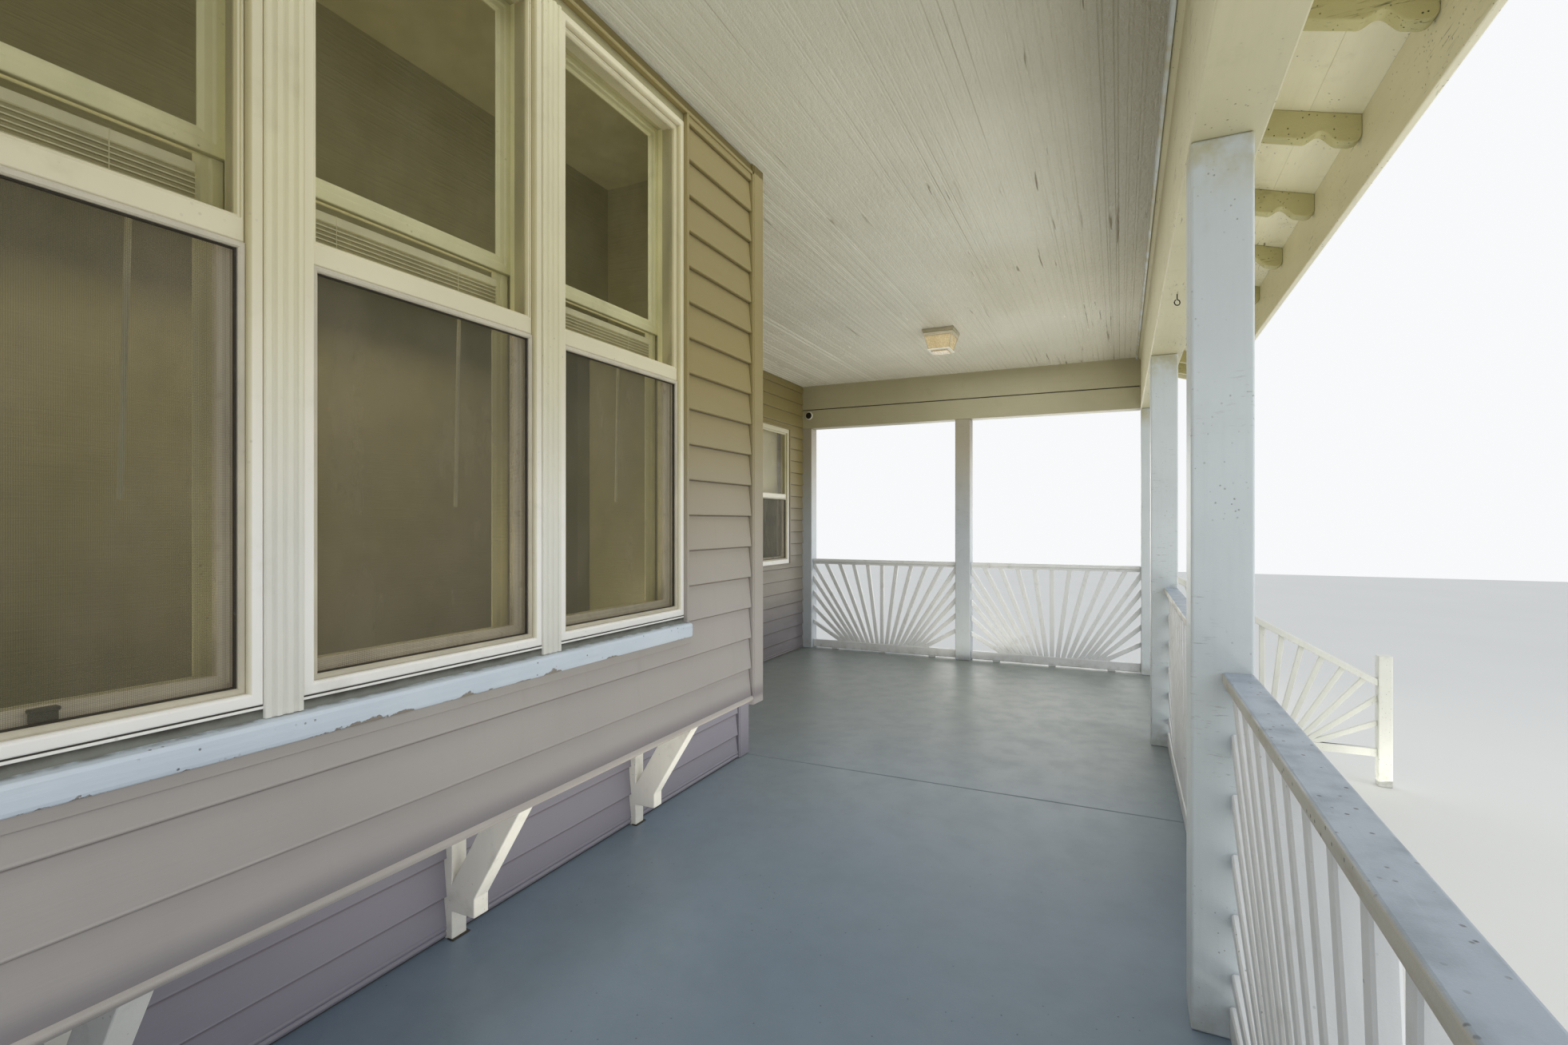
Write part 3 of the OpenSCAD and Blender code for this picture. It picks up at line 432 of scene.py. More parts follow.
def wallCore():  # dim olive plaster inside the rooms, weathered sheathing on the cut faces
    p = Paint("wallCore")
    trowel = p.cloud(9, 6)
    plaster = p.blend(p.fade(trowel, 0.35, 0.7), (150, 142, 104), (160, 152, 114))
    grain = p.patches(0.4, 0.75, 130, 5, (0.06, 0.06, 1))
    up = p.z / 0.184  # in sheathing boards
    sheath = p.layers(
        p.blend(p.perStep(up), (164, 154, 134), (148, 137, 117)), (grain * 0.5, (124, 112, 94)),
        (p.fade(up % 1.0, 0.028, 0.012) * 0.9, (58, 50, 42)))
    rear = p.fade(p.y, porch["alcoveWall"] + 0.01, porch["alcoveWall"] + 0.03)
    p.finish(p.blend(rear, plaster, sheath), 0.75 + trowel * 0.1, trowel * 0.6 + grain * 0.4, 0.002)


def floorBoards():  # oiled boards, each with its own tone, and a thin dark line between them
    p = Paint("floorBoards")
    across = p.y / 0.085  # in boards
    line = p.fade(across % 1.0, 0.04, 0.0)
    figure = p.patches(0.35, 0.7, 30, 6, (0.06, 1, 1))
    tone = p.layers(
        p.blend(p.perStep(across), (120, 84, 52), (146, 106, 68)), (figure * 0.5, (92, 62, 38)),
        (line, (40, 28, 20)))
    p.finish(tone, 0.38 + figure * 0.1, figure * 0.4 - line, 0.001)


def sillPaint():  # pale blue-white, peeled to grey wood along its lower edge, with painted shade and patches of dirt at the back of its top
    p = Paint("sillPaint")
    low, high = (corner[2] for corner in corners("bay_sill"))
    edge = (p.z - low) / (high - low) + (p.cloud(13, 6) - 0.5) * 1.3 + (p.cloud(60, 4) - 0.5) * 0.5
    peel = p.fade(edge, 0.0, -0.05)
    # painted shade, broken into patches of dirt, along the back of the sill's top under the windows
    rear = p.fade(p.y, porch["bayFront"] - 0.02, porch["bayFront"] - 0.004) * p.patches(0.3, 0.6, 22, 5)
    specks = p.specks(60, 0.16, 0.08, 0.5, 0.6, 7, 2)
    tone = p.layers(
        p.blend(p.patches(0.3, 0.7, 4, 4), (196, 207, 219), (205, 215, 225)),
        (p.patches(0.5, 0.8, 50, 4, (0.1, 1, 1)) * 0.25, (172, 182, 188)), (peel, (142, 134, 124)),
        (specks * 0.8, (96, 92, 84)), (rear * 0.85, (98, 98, 88)))
    p.finish(tone, 0.42 + peel * 0.4, p.cloud(80, 4, (0.1, 1, 1)) * 0.4 - peel * 1.2 - specks, 0.0014)


def gapShade():  # painted shade, with some soot, in the gap under the window frames, greyer where it meets the sill
    p = Paint("gapShade")
    low, high = corners("bay_sill")[1][2], corners("bay_windows")[0][2]
    rise = (p.z - low) / (high - low) + (p.cloud(16, 5) - 0.5) * 0.7
    tone = p.layers(
        p.blend(p.fade(rise, 0.75, 0.1), (60, 57, 50), (124, 126, 118)),
        (p.patches(0.5, 0.8, 120, 4, (0.08, 1, 1)) * 0.3, (34, 32, 28)))
    p.finish(tone, 0.85, p.cloud(90, 4))


def amberGlass():  # frosted and ribbed, with slow drifts of amber
    p = Paint("amberGlass")
    ribs = p.cloud(90, 3)
    p.finish(p.blend(p.patches(0.3, 0.7, 9, 2), (199, 175, 130), (213, 192, 149)), 0.22 + ribs * 0.1, ribs,
             0.0008, **{"Transmission Weight": 0.15, "Emission Color": (0.95, 0.84, 0.62, 1),
                        "Emission Strength": 0.05})


for mix in (capPaint, deckPaint, roofGranules, windowPane, insectScreen, wallCore, floorBoards, sillPaint,
            gapShade, amberGlass):
    mix()
sidingVinyl("siding", 1.0)
sidingVinyl("sidingPlain", 0.0)

moulded = {"drift": 8, "scuff": 60, "wear": 0.25, "worn": (150, 146, 138), "Metallic": 0.0}
mouldedLooks = {
    "darkMetal": {"colour": (34, 31, 28), "rough": 0.45, "worn": (84, 78, 70), "Metallic": 0.3},
    "sidingEdge": {"colour": (178, 171, 166), "rough": 0.42, "wear": 0.15, "drift": 2},
    "screenFrame": {"colour": (192, 185, 166), "rough": 0.45, "worn": (140, 124, 98)},
    "agedSash": {
        "colour": (252, 240, 216), "rough": 0.5, "wear": 0.4, "scuff": 24, "worn": (170, 150, 120),
        "drift": 4},
    "spline": {"colour": (52, 46, 38), "rough": 0.7},
    # a dark sheet that stands in for the shadowed room behind a pane: painted shade
    "roomShadow": {"colour": (92, 88, 66), "rough": 0.8, "drift": 3},
    "shade": {"colour": (240, 232, 198), "rough": 0.7, "drift": 3},
    "slat": {"colour": (228, 221, 180), "rough": 0.4, "wear": 0.1},
    # a darker copy of the slat paint: painted shade between the gathered slats
    "slatShade": {"colour": (184, 175, 132), "rough": 0.6, "wear": 0.1},
    "fixtureWhite": {"colour": (220, 216, 198), "rough": 0.4, "wear": 0.15},
    "brass": {"colour": (176, 142, 82), "rough": 0.3, "worn": (110, 84, 46), "Metallic": 0.9},
    # dark lines of dirt and painted shade, and the painted shadow over the lamp's plate
    "dirt": {"colour": (66, 62, 54), "rough": 0.9, "worn": (112, 104, 90), "wear": 0.6},
    "lampWhite": {"colour": (226, 222, 206), "rough": 0.35, "worn": (170, 162, 140)},
    "lampMetal": {"colour": (184, 174, 148), "rough": 0.4, "worn": (120, 108, 84)},
}


def mouldedFinish(name, look):  # moulded or cast: slow tone drift, fine stipple and scuffs
    p, look = Paint(name), {**moulded, **look}
    scuff = p.patches(0.58, 0.75, look["scuff"], 5)
    tone = p.blend(p.patches(0.3, 0.7, look["drift"], 4), (*look["colour"], 0.88), (*look["colour"], 1.06))
    p.finish(p.blend(scuff * look["wear"], tone, look["worn"]), look["rough"] + scuff * 0.2, p.cloud(500, 2),
             0.0003, Metallic=look["Metallic"])


for name, look in mouldedLooks.items():
    mouldedFinish(name, look)
print("finishes mixed:", len(finishes))


def inScene(name, mesh, finish):  # a mesh as an object, all of it in one finish
    mesh.materials.clear()
    mesh.materials.append(finishes[finish])
    piece = bpy.data.objects.new(name, mesh)
    scene.collection.objects.link(piece)
    return piece


def fitted(piece, replaced):  # replaced are the CAD nodes that the piece takes the place of
    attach(piece, "root")
    if replaced:
        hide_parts(*replaced)


def rounded(piece, width, segments=2):  # every edge sharper than 32 degrees
    bevel = piece.modifiers.new("edges", "BEVEL")
    bevel.width, bevel.segments = width, segments
    bevel.limit_method, bevel.angle_limit = "ANGLE", math.radians(32)
    bevel.use_clamp_overlap = False


def addPiece(name, shapes, finish, slotName, *replaced, soften=0.0, recalc=True, tones=None):
    # Several shapes (points, faces) as one mesh, each one's faces counted on from the last
    points, faces, count = [], [], 0
    for shapePoints, shapeFaces in shapes:
        points += np.asarray(shapePoints, float).tolist()
        faces += [[int(i) + count for i in face] for face in shapeFaces]
        count = len(points)
    mesh = bpy.data.meshes.new(name)
    mesh.from_pydata(points, [], faces)
    if recalc:
        shape = bmesh.new()
        shape.from_mesh(mesh)
        bmesh.ops.recalc_face_normals(shape, faces=shape.faces)
        shape.to_mesh(mesh)
        shape.free()
    if tones is not None:
        kept = mesh.attributes.new("tabTone", "FLOAT", "FACE")
        kept.data.foreach_set("value", np.asarray(tones, np.float32))
    piece = inScene(name, mesh, finish)
    if soften:
        rounded(piece, soften)
    fitted(piece, replaced)


def columns(*rows):  # numbers and rows of numbers side by side, as the columns of one array
    return np.stack(np.broadcast_arrays(*rows), -1)


signs = np.array([[x, y, z] for x in (-1, 1) for y in (-1, 1) for z in (-1, 1)], float)
setBack = 1 - np.eye(3)  # the two axes along which each of a corner's three points is set back


def boardTemplate():
    # A board's corner is three points, one on each face that meets there: so the board has six
    # faces, twelve strips between two faces, and eight corner triangles
    faces, step = [], (12, 6, 3)  # what a move to the high side of each axis adds to a point's number
    for a in range(3):
        b, c = (a + 1) % 3, (a + 2) % 3
        for side in (0, step[a]):
            ring = ((0, 0), (1, 0), (1, 1), (0, 1))
            faces.append([side + step[b] * u + step[c] * v + a for u, v in ring])
        for start in (0, step[c], step[b], step[b] + step[c]):
            faces.append([start + b, start + step[a] + b, start + step[a] + c, start + c])
    faces += [[i, i + 1, i + 2] for i in range(0, 24, 3)]
    points = (signs[:, None] * (1 - 0.2 * setBack)).reshape(-1, 3)
    for index, face in enumerate(faces):
        ring = points[face]
        if np.cross(ring[1] - ring[0], ring[2] - ring[1]) @ ring.mean(0) < 0:  # it faces inwards
            faces[index] = face[::-1]
    return np.array(faces[:18]), np.array(faces[18:])  # those with four sides, those with three


boardShape = boardTemplate()


def boardFaces(count):  # the template's faces for each of several boards, four-sided ones first
    return [face for part in boardShape
            for face in (part + 24 * np.arange(count)[:, None, None]).reshape(-1, part.shape[1]).tolist()]


def boards(lows, highs, edge):
    # Centre plus half size times the corner's sign, less the edge's width on the two other axes; the
    # edge takes at most 0.8 of half the board's thickness
    lows, highs = np.atleast_2d(lows).astype(float), np.atleast_2d(highs).astype(float)
    centre, half = ((lows + highs) / 2)[:, None, None], ((highs - lows) / 2)[:, None, None]
    cut = np.minimum(edge, 0.8 * half.min(-1, keepdims=True))
    points = centre + half * signs[:, None] - cut * signs[:, None] * setBack
    return points.reshape(-1, 3), boardFaces(len(lows))


def carried(outline, start, end, lay):
    # A closed outline in (out, up) stands at both ends of a line; every side of it is one quad.
    # start and end may be arrays, one distance for each point of the outline
    outline = np.asarray(outline, float)
    count = len(outline)
    ends = [np.broadcast_to(np.asarray(s, float), (count,)) for s in (start, end)]
    points = np.concatenate([lay(outline[:, 0], outline[:, 1], s) for s in ends])
    near = np.arange(count)
    after = (near + 1) % count
    sides = columns(near, after, after + count, near + count).tolist()
    return points, sides + [near[::-1].tolist(), (near + count).tolist()]


def strips(rows, sides, joined):  # quads between neighbouring rings, the last and first too if joined
    row, side = np.meshgrid(np.arange(rows if joined else rows - 1), np.arange(sides), indexing="ij")
    first, second, after = row * sides, (row + 1) % rows * sides, (side + 1) % sides
    return columns(first + side, first + after, second + after, second + side).reshape(-1, 4).tolist()


def ringFrame(rows):
    # Each row is a rectangle (left, right, low, high) at a depth; neighbouring rows are joined
    # corner to corner, so the corners are mitred, and the last row is joined to the first
    points = np.array(rows, float)[:, [0, 4, 2, 1, 4, 2, 1, 4, 3, 0, 4, 3]].reshape(-1, 3)
    return points, strips(len(rows), 4, True)


def rim(box, wall, *steps):  # rows of a ring frame; a step is (inset from the box, depth past the wall)
    left, right, low, high = box
    return [[left + by, right - by, low + by, high - by, wall + depth] for by, depth in steps]


def rod(path, radius, sides):
    # A circle square to the path at each of its points, with a flat face at both ends
    path = np.asarray(path, float)
    ahead = np.gradient(path, axis=0)
    ahead /= np.linalg.norm(ahead, axis=1)[:, None]
    guide = np.where(np.abs(ahead[:, 2:3]) > 0.9, [[1.0, 0, 0]], [[0, 0, 1.0]])
    across = np.cross(ahead, guide)
    across /= np.linalg.norm(across, axis=1)[:, None]
    upward = np.cross(across, ahead)
    turn = np.linspace(0, 2 * np.pi, sides, endpoint=False)[None, :, None]
    radius = np.broadcast_to(radius, (len(path),))[:, None, None]
    points = path[:, None] + radius * (np.cos(turn) * across[:, None] + np.sin(turn) * upward[:, None])
    near = np.arange(sides)
    caps = [near[::-1].tolist(), (near + (len(path) - 1) * sides).tolist()]
    return points.reshape(-1, 3), strips(len(path), sides, False) + caps


def turned(profile, place, axis, sides=32):  # a round part; its (reach, radius) pairs run down an axis
    reach, radius = np.array(profile).T
    path = np.tile(np.array(place, float), (len(reach), 1))
    path[:, axis] -= reach
    return rod(path, radius, sides)


timber = {  # nodes that keep the CAD shape: finish, slot, rounding of the edges and its steps
    "post_1 post_2 post_3 post_4": ("postPaint", "white_paint", 0.007, 3),
    "mid_post pilasters": ("farPostPaint", "white_paint", 0.007, 3),
    "front_beam": ("beamPaint", "cream_paint", 0.005, 2),
    "fascia rake_boards": ("trimPaint", "cream_paint", 0.005, 2),
    "near_header far_header near_gable far_gable": ("friezePaint", "cream_paint", 0.005, 2),
    "rafter_tails": ("tailPaint", "cream_paint", 0.004, 2),
    "stair_rail": ("newelPaint", "white_paint", 0.0035, 2),
    "front_rail_caps": ("capPaint", "cap_paint", 0.005, 3),
    "newel": ("newelPaint", "white_paint", 0.007, 3),
    "bay_brackets": ("bracketPaint", "white_paint", 0.003, 2),
    "deck_near deck_far": ("deckPaint", "deck_paint", 0.006, 3),
    "stair_treads": ("deckPaint", "deck_paint", 0.009, 3),
    "stair_risers stair_stringers": ("skirtPaint", "white_paint", 0.003, 2),
    "door_casing": ("windowWhite", "white_paint", 0.003, 2),
    "bay_floor": ("bracketPaint", "siding", 0.002, 2),
}
plainNodes = {  # nodes that change in their material only
    "wallCore": (
        "wall_under_bay", "wall_before_bay", "wall_past_bay", "return_wall", "back_wall", "party_wall",
        "bay_front", "bay_ends"),
    "floorBoards": ("room_floor",),
    "windowPane": ("window_glass",),
}


def paintedNode(name, finish, slotName, edge, segments):
    # A CAD node's own shape with its doubled points joined and its corners rounded over
    shape = bmesh.new()
    shape.from_mesh(nodes[name].data)
    bmesh.ops.remove_doubles(shape, verts=shape.verts, dist=2e-5)
    bmesh.ops.dissolve_limit(shape, angle_limit=math.radians(0.6), verts=shape.verts, edges=shape.edges)
    mesh = bpy.data.meshes.new(name + "_painted")
    shape.to_mesh(mesh)
    shape.free()
    piece = inScene(name + "_painted", mesh, finish)
    rounded(piece, edge, segments)
    fitted(piece, (name,))


for names, look in timber.items():
    for name in names.split():
        paintedNode(name, *look)
for finish, names in plainNodes.items():
    for name in names:
        nodes[name].data.materials.clear()
        nodes[name].data.materials.append(finishes[finish])
print("timber painted")


railLook = {
    "panels": {"front_rail_1": 0, "front_rail_2": 0, "near_rail": 1, "far_rail_left": 1, "far_rail_right": 1},
    "ray": 0.038, "rayThick": 0.030, "railThick": 0.038,
    "layer": 0.0002,  # each of three neighbouring rays is thinner by this on both faces than the last
    "upper": 0.150,  # spacing of the rays' heads
    "lower": 0.048,  # spacing of their feet
    "topRail": 0.022, "bottomRail": 0.076, "lift": 0.012, "capThick": 0.030, "capWidth": 0.070,
    "edge": 0.0042,  # rounding of the rays and the bottom rail
    "topEdge": 0.003, "capEdge": 0.006,
    "sink": 0.003,  # how far the rays reach into the rails
    "clear": 0.0002,  # hair gap where two faces would lie in one plane
    "blocks": (0.16, 0.5, 0.84),  # where small blocks hold the bottom rail up
    "blockHalf": 0.03, "blockThick": 0.03,
}


def rayBoards(foot, head, cutFoot, cutHead):
    # A ray is a board from its foot to its head. Across it, the foot is cut along a level line and
    # the head along a level or a plumb line; its corners are split as a board's are
    look = railLook
    ahead = head - foot
    ahead = ahead / np.linalg.norm(ahead, axis=1)[:, None]
    across = columns(-ahead[:, 1], ahead[:, 0])
    sign, split = np.repeat(signs, 3, axis=0), look["edge"] * np.tile(setBack, (8, 1))
    a = sign[:, 1] * (look["ray"] / 2 - split[:, 1])
    thick = look["rayThick"] / 2 - look["layer"] * (np.arange(len(foot)) % 3)
    t = sign[:, 2] * (thick[:, None] - split[:, 2])
    start = (cutFoot - foot[:, 1:]) / ahead[:, 1:] - across[:, 1:] / ahead[:, 1:] * a
    axis = np.where(np.isfinite(cutHead[:, :1]), 0, 1)  # 0 where the head is cut plumb
    limit, origin, along, side = (np.take_along_axis(v, axis, 1) for v in (cutHead, foot, ahead, across))
    stop = (limit - origin) / along - side / along * a
    s = np.where(sign[:, 0] < 0, start + split[:, 0], stop - split[:, 0])
    flat = foot[:, None] + s[..., None] * ahead[:, None] + a[:, None] * across[:, None]
    return np.concatenate([flat, t[..., None]], 2).reshape(-1, 3), boardFaces(len(foot))


def sunburst(width, height):  # rays in even steps along the head and on down both sides
    look, half = railLook, width / 2
    count = int((half + height - 1.5 * look["ray"]) // look["upper"])
    i = np.arange(-count, count + 1)
    run = np.abs(i) * look["upper"]
    onTop = run <= half
    head = columns(
        np.sign(i) * np.where(onTop, run, half), np.where(onTop, height, height - (run - half)))
    foot = columns(i * look["lower"], 0.0)
    cut = columns(np.where(onTop, np.nan, np.sign(i) * half), height + look["sink"])
    return rayBoards(foot, head, -look["sink"], cut)


def railPanel(name, along):  # along is the axis that the panel runs along
    look, across, (low, high) = railLook, 1 - along, corners(name)
    left, right, centre = low[along], high[along], (high[across] + low[across]) / 2
    foot = low[2] + look["bottomRail"]
    top = high[2] - (look["capThick"] if along else 0)
    height = top - look["topRail"] - foot
    flat, faces = sunburst(right - left, height)
    rays = np.zeros_like(flat)
    rays[:, [along, 2, across]] = flat + [(right + left) / 2, foot, centre]

    def bar(start, end, base, head, thick, edge):
        ends = np.zeros((2, 3))
        ends[:, [along, 2, across]] = [[start, base, centre - thick / 2], [end, head, centre + thick / 2]]
        return boards(*ends, edge)

    shapes = [(rays, faces), bar(left, right, low[2], foot, look["railThick"], look["edge"]),
              bar(left, right, foot + height, top - look["clear"], look["railThick"], look["topEdge"])]
    base, half = low[2] - look["lift"] + look["clear"], look["blockHalf"]
    for share in look["blocks"]:
        place = left + (right - left) * share
        shapes.append(bar(place - half, place + half, base, low[2] + 0.002, look["blockThick"], 0.001))
    addPiece(name + "_panel", shapes, "railPaint", "white_paint", name)
    if along:
        cap = bar(left, right, top, high[2], look["capWidth"], look["capEdge"])
        addPiece(name + "_cap", [cap], "railPaint", "white_paint")


for name, along in railLook["panels"].items():
    railPanel(name, along)
print("railings set")


ceilingLook = {
    "fullest": 0.3,  # share of its depth that the fullest groove keeps open
    "board": 0.081,  # from groove to groove
    "groove": 0.0027,  # depth of the grooves
    "step": 0.8,  # share of that depth at the bead's feet
    "side": 0.0024,  # from the groove's bottom to the bead
    "bead": 0.0095,  # width of the bead beside a groove
    "flat": 0.0044, "slope": 0.0070,  # past the bead's width, from the groove's bottom
    "lead": 0.0026,  # slope before the middle groove
    "uneven": 0.0011,  # how far one board hangs below its neighbours
    "cove": 0.014,  # radius of the quarter round along the beam
}


def alongPorch(y, z, s):  # for an outline in (y, z) that is carried along x
    return columns(s, y, z)


def beadedCeiling():
    # One board's section, repeated across the porch: a V groove, a bead of half a circle and a flat,
    # then the same bead in the board's middle; each board hangs by a small amount of its own,
    # and old paint fills its grooves by a share of its own
    look, (low, high) = ceilingLook, corners("ceiling")
    deep, bead, side = look["groove"], look["bead"], look["side"]
    count = int((high[1] - low[1]) // look["board"])
    pitch = (high[1] - low[1]) / count
    turn = np.linspace(np.pi, 0, 6)
    across = np.concatenate([
        [0.0, side], side + bead / 2 + bead / 2 * np.cos(turn), [look["flat"] + bead, look["slope"] + bead]])
    step = deep * look["step"]
    rise = np.concatenate([[deep, step], step * (1 - np.sin(turn)), [step, 0]])
    across = np.concatenate([across, [pitch / 2 - look["lead"]], pitch / 2 + across[1:]])
    rise = np.concatenate([rise, [0], rise[1:]])
    draw = np.random.default_rng(7)
    hang = draw.uniform(-1, 0.2, count) * look["uneven"]
    opened = draw.uniform(look["fullest"], 1, (count, 1)) ** 1.5
    lines = low[1] + pitch * np.arange(count)[:, None] + across
    rises = rise * opened + np.where(rise < deep * 0.7, 1, 0.4) * (-hang[:, None])
    outline = np.concatenate([
        columns(lines.ravel(), low[2] + rises.ravel()),
        [[high[1], low[2] + deep], [high[1], high[2]], [low[1], high[2]]]])
    ceilingPaint(pitch, low[1])
    addPiece("beadedCeiling", [carried(outline, low[0], high[0], alongPorch)], "ceilingPaint", "cream_paint",
             "ceiling")
    front, reach, turn = max(low[1], corners("front_beam")[1][1]), look["cove"], np.linspace(0, np.pi / 2, 7)
    arc = columns(front + reach * np.cos(turn), low[2] - reach * np.sin(turn))
    outline = np.concatenate([
        [[front - 0.001, low[2] + 0.002], [front + reach, low[2] + 0.002]], arc,
        [[front - 0.001, low[2] - reach]]])
    addPiece("quarterRound", [carried(outline, low[0], high[0], alongPorch)], "postPaint", "cream_paint")


beadedCeiling()
print("ceiling laid")


roofLook = {
    "board": 0.138, "gap": 0.0004, "joint": 0.0006, "boardEdge": 0.0007, "thick": 0.022,
    "joints": 1.5,  # how far from the roof's ends a board may be joined
    "exposure": 0.142,  # what shows of a course
    "tab": 0.3, "slot": 0.007, "butt": 0.0055, "tabEdge": 0.0012,
    "shift": 0.02,  # of one course against the next, besides half a tab
    "narrowest": 0.03,  # tab that is still laid
    "overlap": 0.03, "ragged": 0.003, "felt": 0.005,
}


def roofPlane():  # the boards' underside: its height at y = 0 and its slope
    low, high = corners("roof_boards")
    points = np.array([v.co for v in nodes["roof_boards"].data.vertices])
    front = points[points[:, 1] < low[1] + 1e-4][:, 2].min()
    back = points[points[:, 1] > high[1] - 1e-4][:, 2].min()
    steep = (back - front) / (high[1] - low[1])
    return front - steep * low[1], steep


roofLift, roofSlope = roofPlane()


def onRoof(shape, above=0.0):  # a shape in a flat plan, each point raised by the roof's height there
    points, faces = shape
    points[:, 2] += roofLift + above + roofSlope * points[:, 1]
    return points, faces


def roofCover():
    # Boards and tabs are boxes in a flat plan; a tab's butt lies on the row below, its head on the felt
    look, (low, high) = roofLook, corners("roof_boards")
    starts = np.arange(low[1], high[1], look["board"])
    draw = np.random.default_rng(3)
    cuts = draw.uniform(low[0] + look["joints"], high[0] - look["joints"], len(starts))
    ends = np.minimum(starts + look["board"] - look["gap"], high[1])
    lows = np.concatenate([columns(left, starts, 0.0) for left in (low[0], cuts + look["joint"])])
    highs = np.concatenate([columns(right, ends, look["thick"]) for right in (cuts, high[0])])
    addPiece("roofBoards", [onRoof(boards(lows, highs, look["boardEdge"]))], "soffitPaint", "cream_paint",
             "roof_boards", recalc=False)

    low, high = corners("roof_shingles")
    rows = math.ceil((high[1] - low[1]) / look["exposure"])
    perRow = math.ceil((high[0] - low[0]) / look["tab"]) + 1
    row, column = [grid.ravel() for grid in np.meshgrid(np.arange(rows), np.arange(perRow), indexing="ij")]
    left = low[0] - 0.5 * look["tab"] * (row % 2) + column * look["tab"] + look["shift"] * (row % 3)
    right = np.minimum(left + look["tab"] - look["slot"], high[0])
    left = np.maximum(left, low[0])
    keep = right - left > look["narrowest"]
    row, left, right = row[keep], left[keep], right[keep]
    front = low[1] + row * look["exposure"]
    back = np.minimum(front + look["exposure"] + look["overlap"], high[1])
    ragged = draw.uniform(0, look["ragged"], len(front)) * (row > 0)
    points, faces = boards(
        columns(left, front + ragged, 0.0), columns(right, back, look["butt"]), look["tabEdge"])
    share = (points[:, 1] - np.repeat(front, 24)) / np.repeat(back - front, 24)
    points[:, 2] += look["butt"] - look["felt"] * share
    tone = draw.uniform(0, 1, len(front))
    felt = boards([low[0] + 0.002, low[1] + 0.002, 0.0002], [high[0] - 0.002, high[1], look["felt"]], 0.001)
    tones = np.concatenate([np.repeat(tone, 18), np.repeat(tone, 8), np.zeros(26)])  # quads, corners, felt
    addPiece("shingleCourses", [onRoof((points, faces), look["thick"]), onRoof(felt, look["thick"])],
             "roofGranules", "shingles", "roof_shingles", recalc=False, tones=tones)


roofCover()
print("roof covered")


bayLow, bayHigh = corners("bay_front")
windowsLow, windowsHigh = corners("bay_windows")
sillLow, sillHigh = corners("bay_sill")
doorLow, doorHigh = corners("door_casing")
sideLow, sideHigh = corners("alcove_window")
deckTop, ceilingZ, bayFootZ = porch["deckTop"], porch["ceiling"], porch["bayFoot"]
mainY, alcoveY, bayY, cornerX = porch["mainWall"], porch["alcoveWall"], porch["bayFront"], porch["corner"]
mainX, wallEndX = corners("wall_under_bay")[0][0], corners("far_header")[0][0]
postLook = {
    "bay": 0.088, "main": 0.115, "out": 0.022, "arris": 0.006,
    "pocket": 0.006,  # gap between a post and the siding
    "step": 0.003, "stepAt": 0.01,  # the face's small step and how far in it begins
}
bayPost, mainPost = (postLook[k] - postLook["out"] for k in ("bay", "main"))
bayEnd, mainEnd = (reach + postLook["pocket"] for reach in (bayPost, mainPost))
trimLook = {  # sections in (out, up), from the foot to the head
    "off": 0.0003,  # from the walls' planes
    "gutter": ((0.015, 0), (0.017, 0.002), (0.017, 0.011), (0.015, 0.013)),
    "head": ((0.017, 0), (0.019, 0.003), (0.019, 0.012), (0.012, 0.016), (0.012, 0.04)),
    "underSill": ((0.016, 0), (0.018, 0.002), (0.018, 0.023)),
    "channel": 0.013,  # width of the gutters beside the windows
    "sillPast": 0.02,  # how far the strip under the sill runs past the windows
    "starter": 0.006, "starterOut": 0.016,  # foot of the starter strip above the deck, and its reach
    "bayFoot": 0.006, "bayFootOut": 0.021,
    "start": 0.042,  # where the siding begins above the deck, over the starter strip
    "sillDrop": 0.024,  # from the sill's foot to the siding's head
}
headerZ = ceilingZ - sidingLook["header"]
startZ = deckTop + trimLook["start"]
underSillZ = sillLow[2] - trimLook["sillDrop"]


def frontLay(plane):  # outwards is towards the street
    return lambda out, up, s: columns(s, plane - out, up)


def sideLay(plane, way):  # outwards along x, to the side that way says
    return lambda out, up, s: columns(plane + way * out, s, up)


mainLay, alcoveLay, bayLay = frontLay(mainY), frontLay(alcoveY), frontLay(bayY)
returnLay = sideLay(cornerX, 1)
bayEndLays = {"Near": sideLay(bayLow[0], -1), "Far": sideLay(bayHigh[0], 1)}


def onWall(face, rise=0.0):  # a section in (out, up), closed along the wall from its head to its foot
    face = np.asarray(face, float) + [0, rise]
    return np.concatenate([face, [[trimLook["off"], face[-1, 1]], [trimLook["off"], face[0, 1]]]])


def lapOutline(low, high):
    # Going up: out along the lap's underside, round its lip, and back along its sloping face; the
    # outline is cut at the patch's foot and head and closed along the wall
    pitch, out, tuck, lip = (sidingLook[k] for k in ("pitch", "out", "tuck", "lip"))
    first = math.floor((low - sidingLook["line"]) / pitch) - 1
    courses = sidingLook["line"] + pitch * np.arange(first, first + int((high - low) / pitch) + 4)
    turn = np.linspace(-np.pi / 2, 0, 4)
    up = np.concatenate([[0.0004], lip + lip * np.sin(turn), [pitch * 0.06, pitch]])
    reach = np.concatenate([[tuck], out - lip + lip * np.cos(turn), [out - 0.001, tuck]])
    heights = (courses[:, None] + up).ravel()
    reaches = np.tile(reach, len(courses))
    inside = (heights > low) & (heights < high)
    order = np.argsort(heights, kind="stable")
    ends = np.interp([low, high], heights[order], reaches[order])
    return onWall(np.concatenate([
        [[ends[0], low]], columns(reaches, heights)[inside], [[ends[1], high]]]))


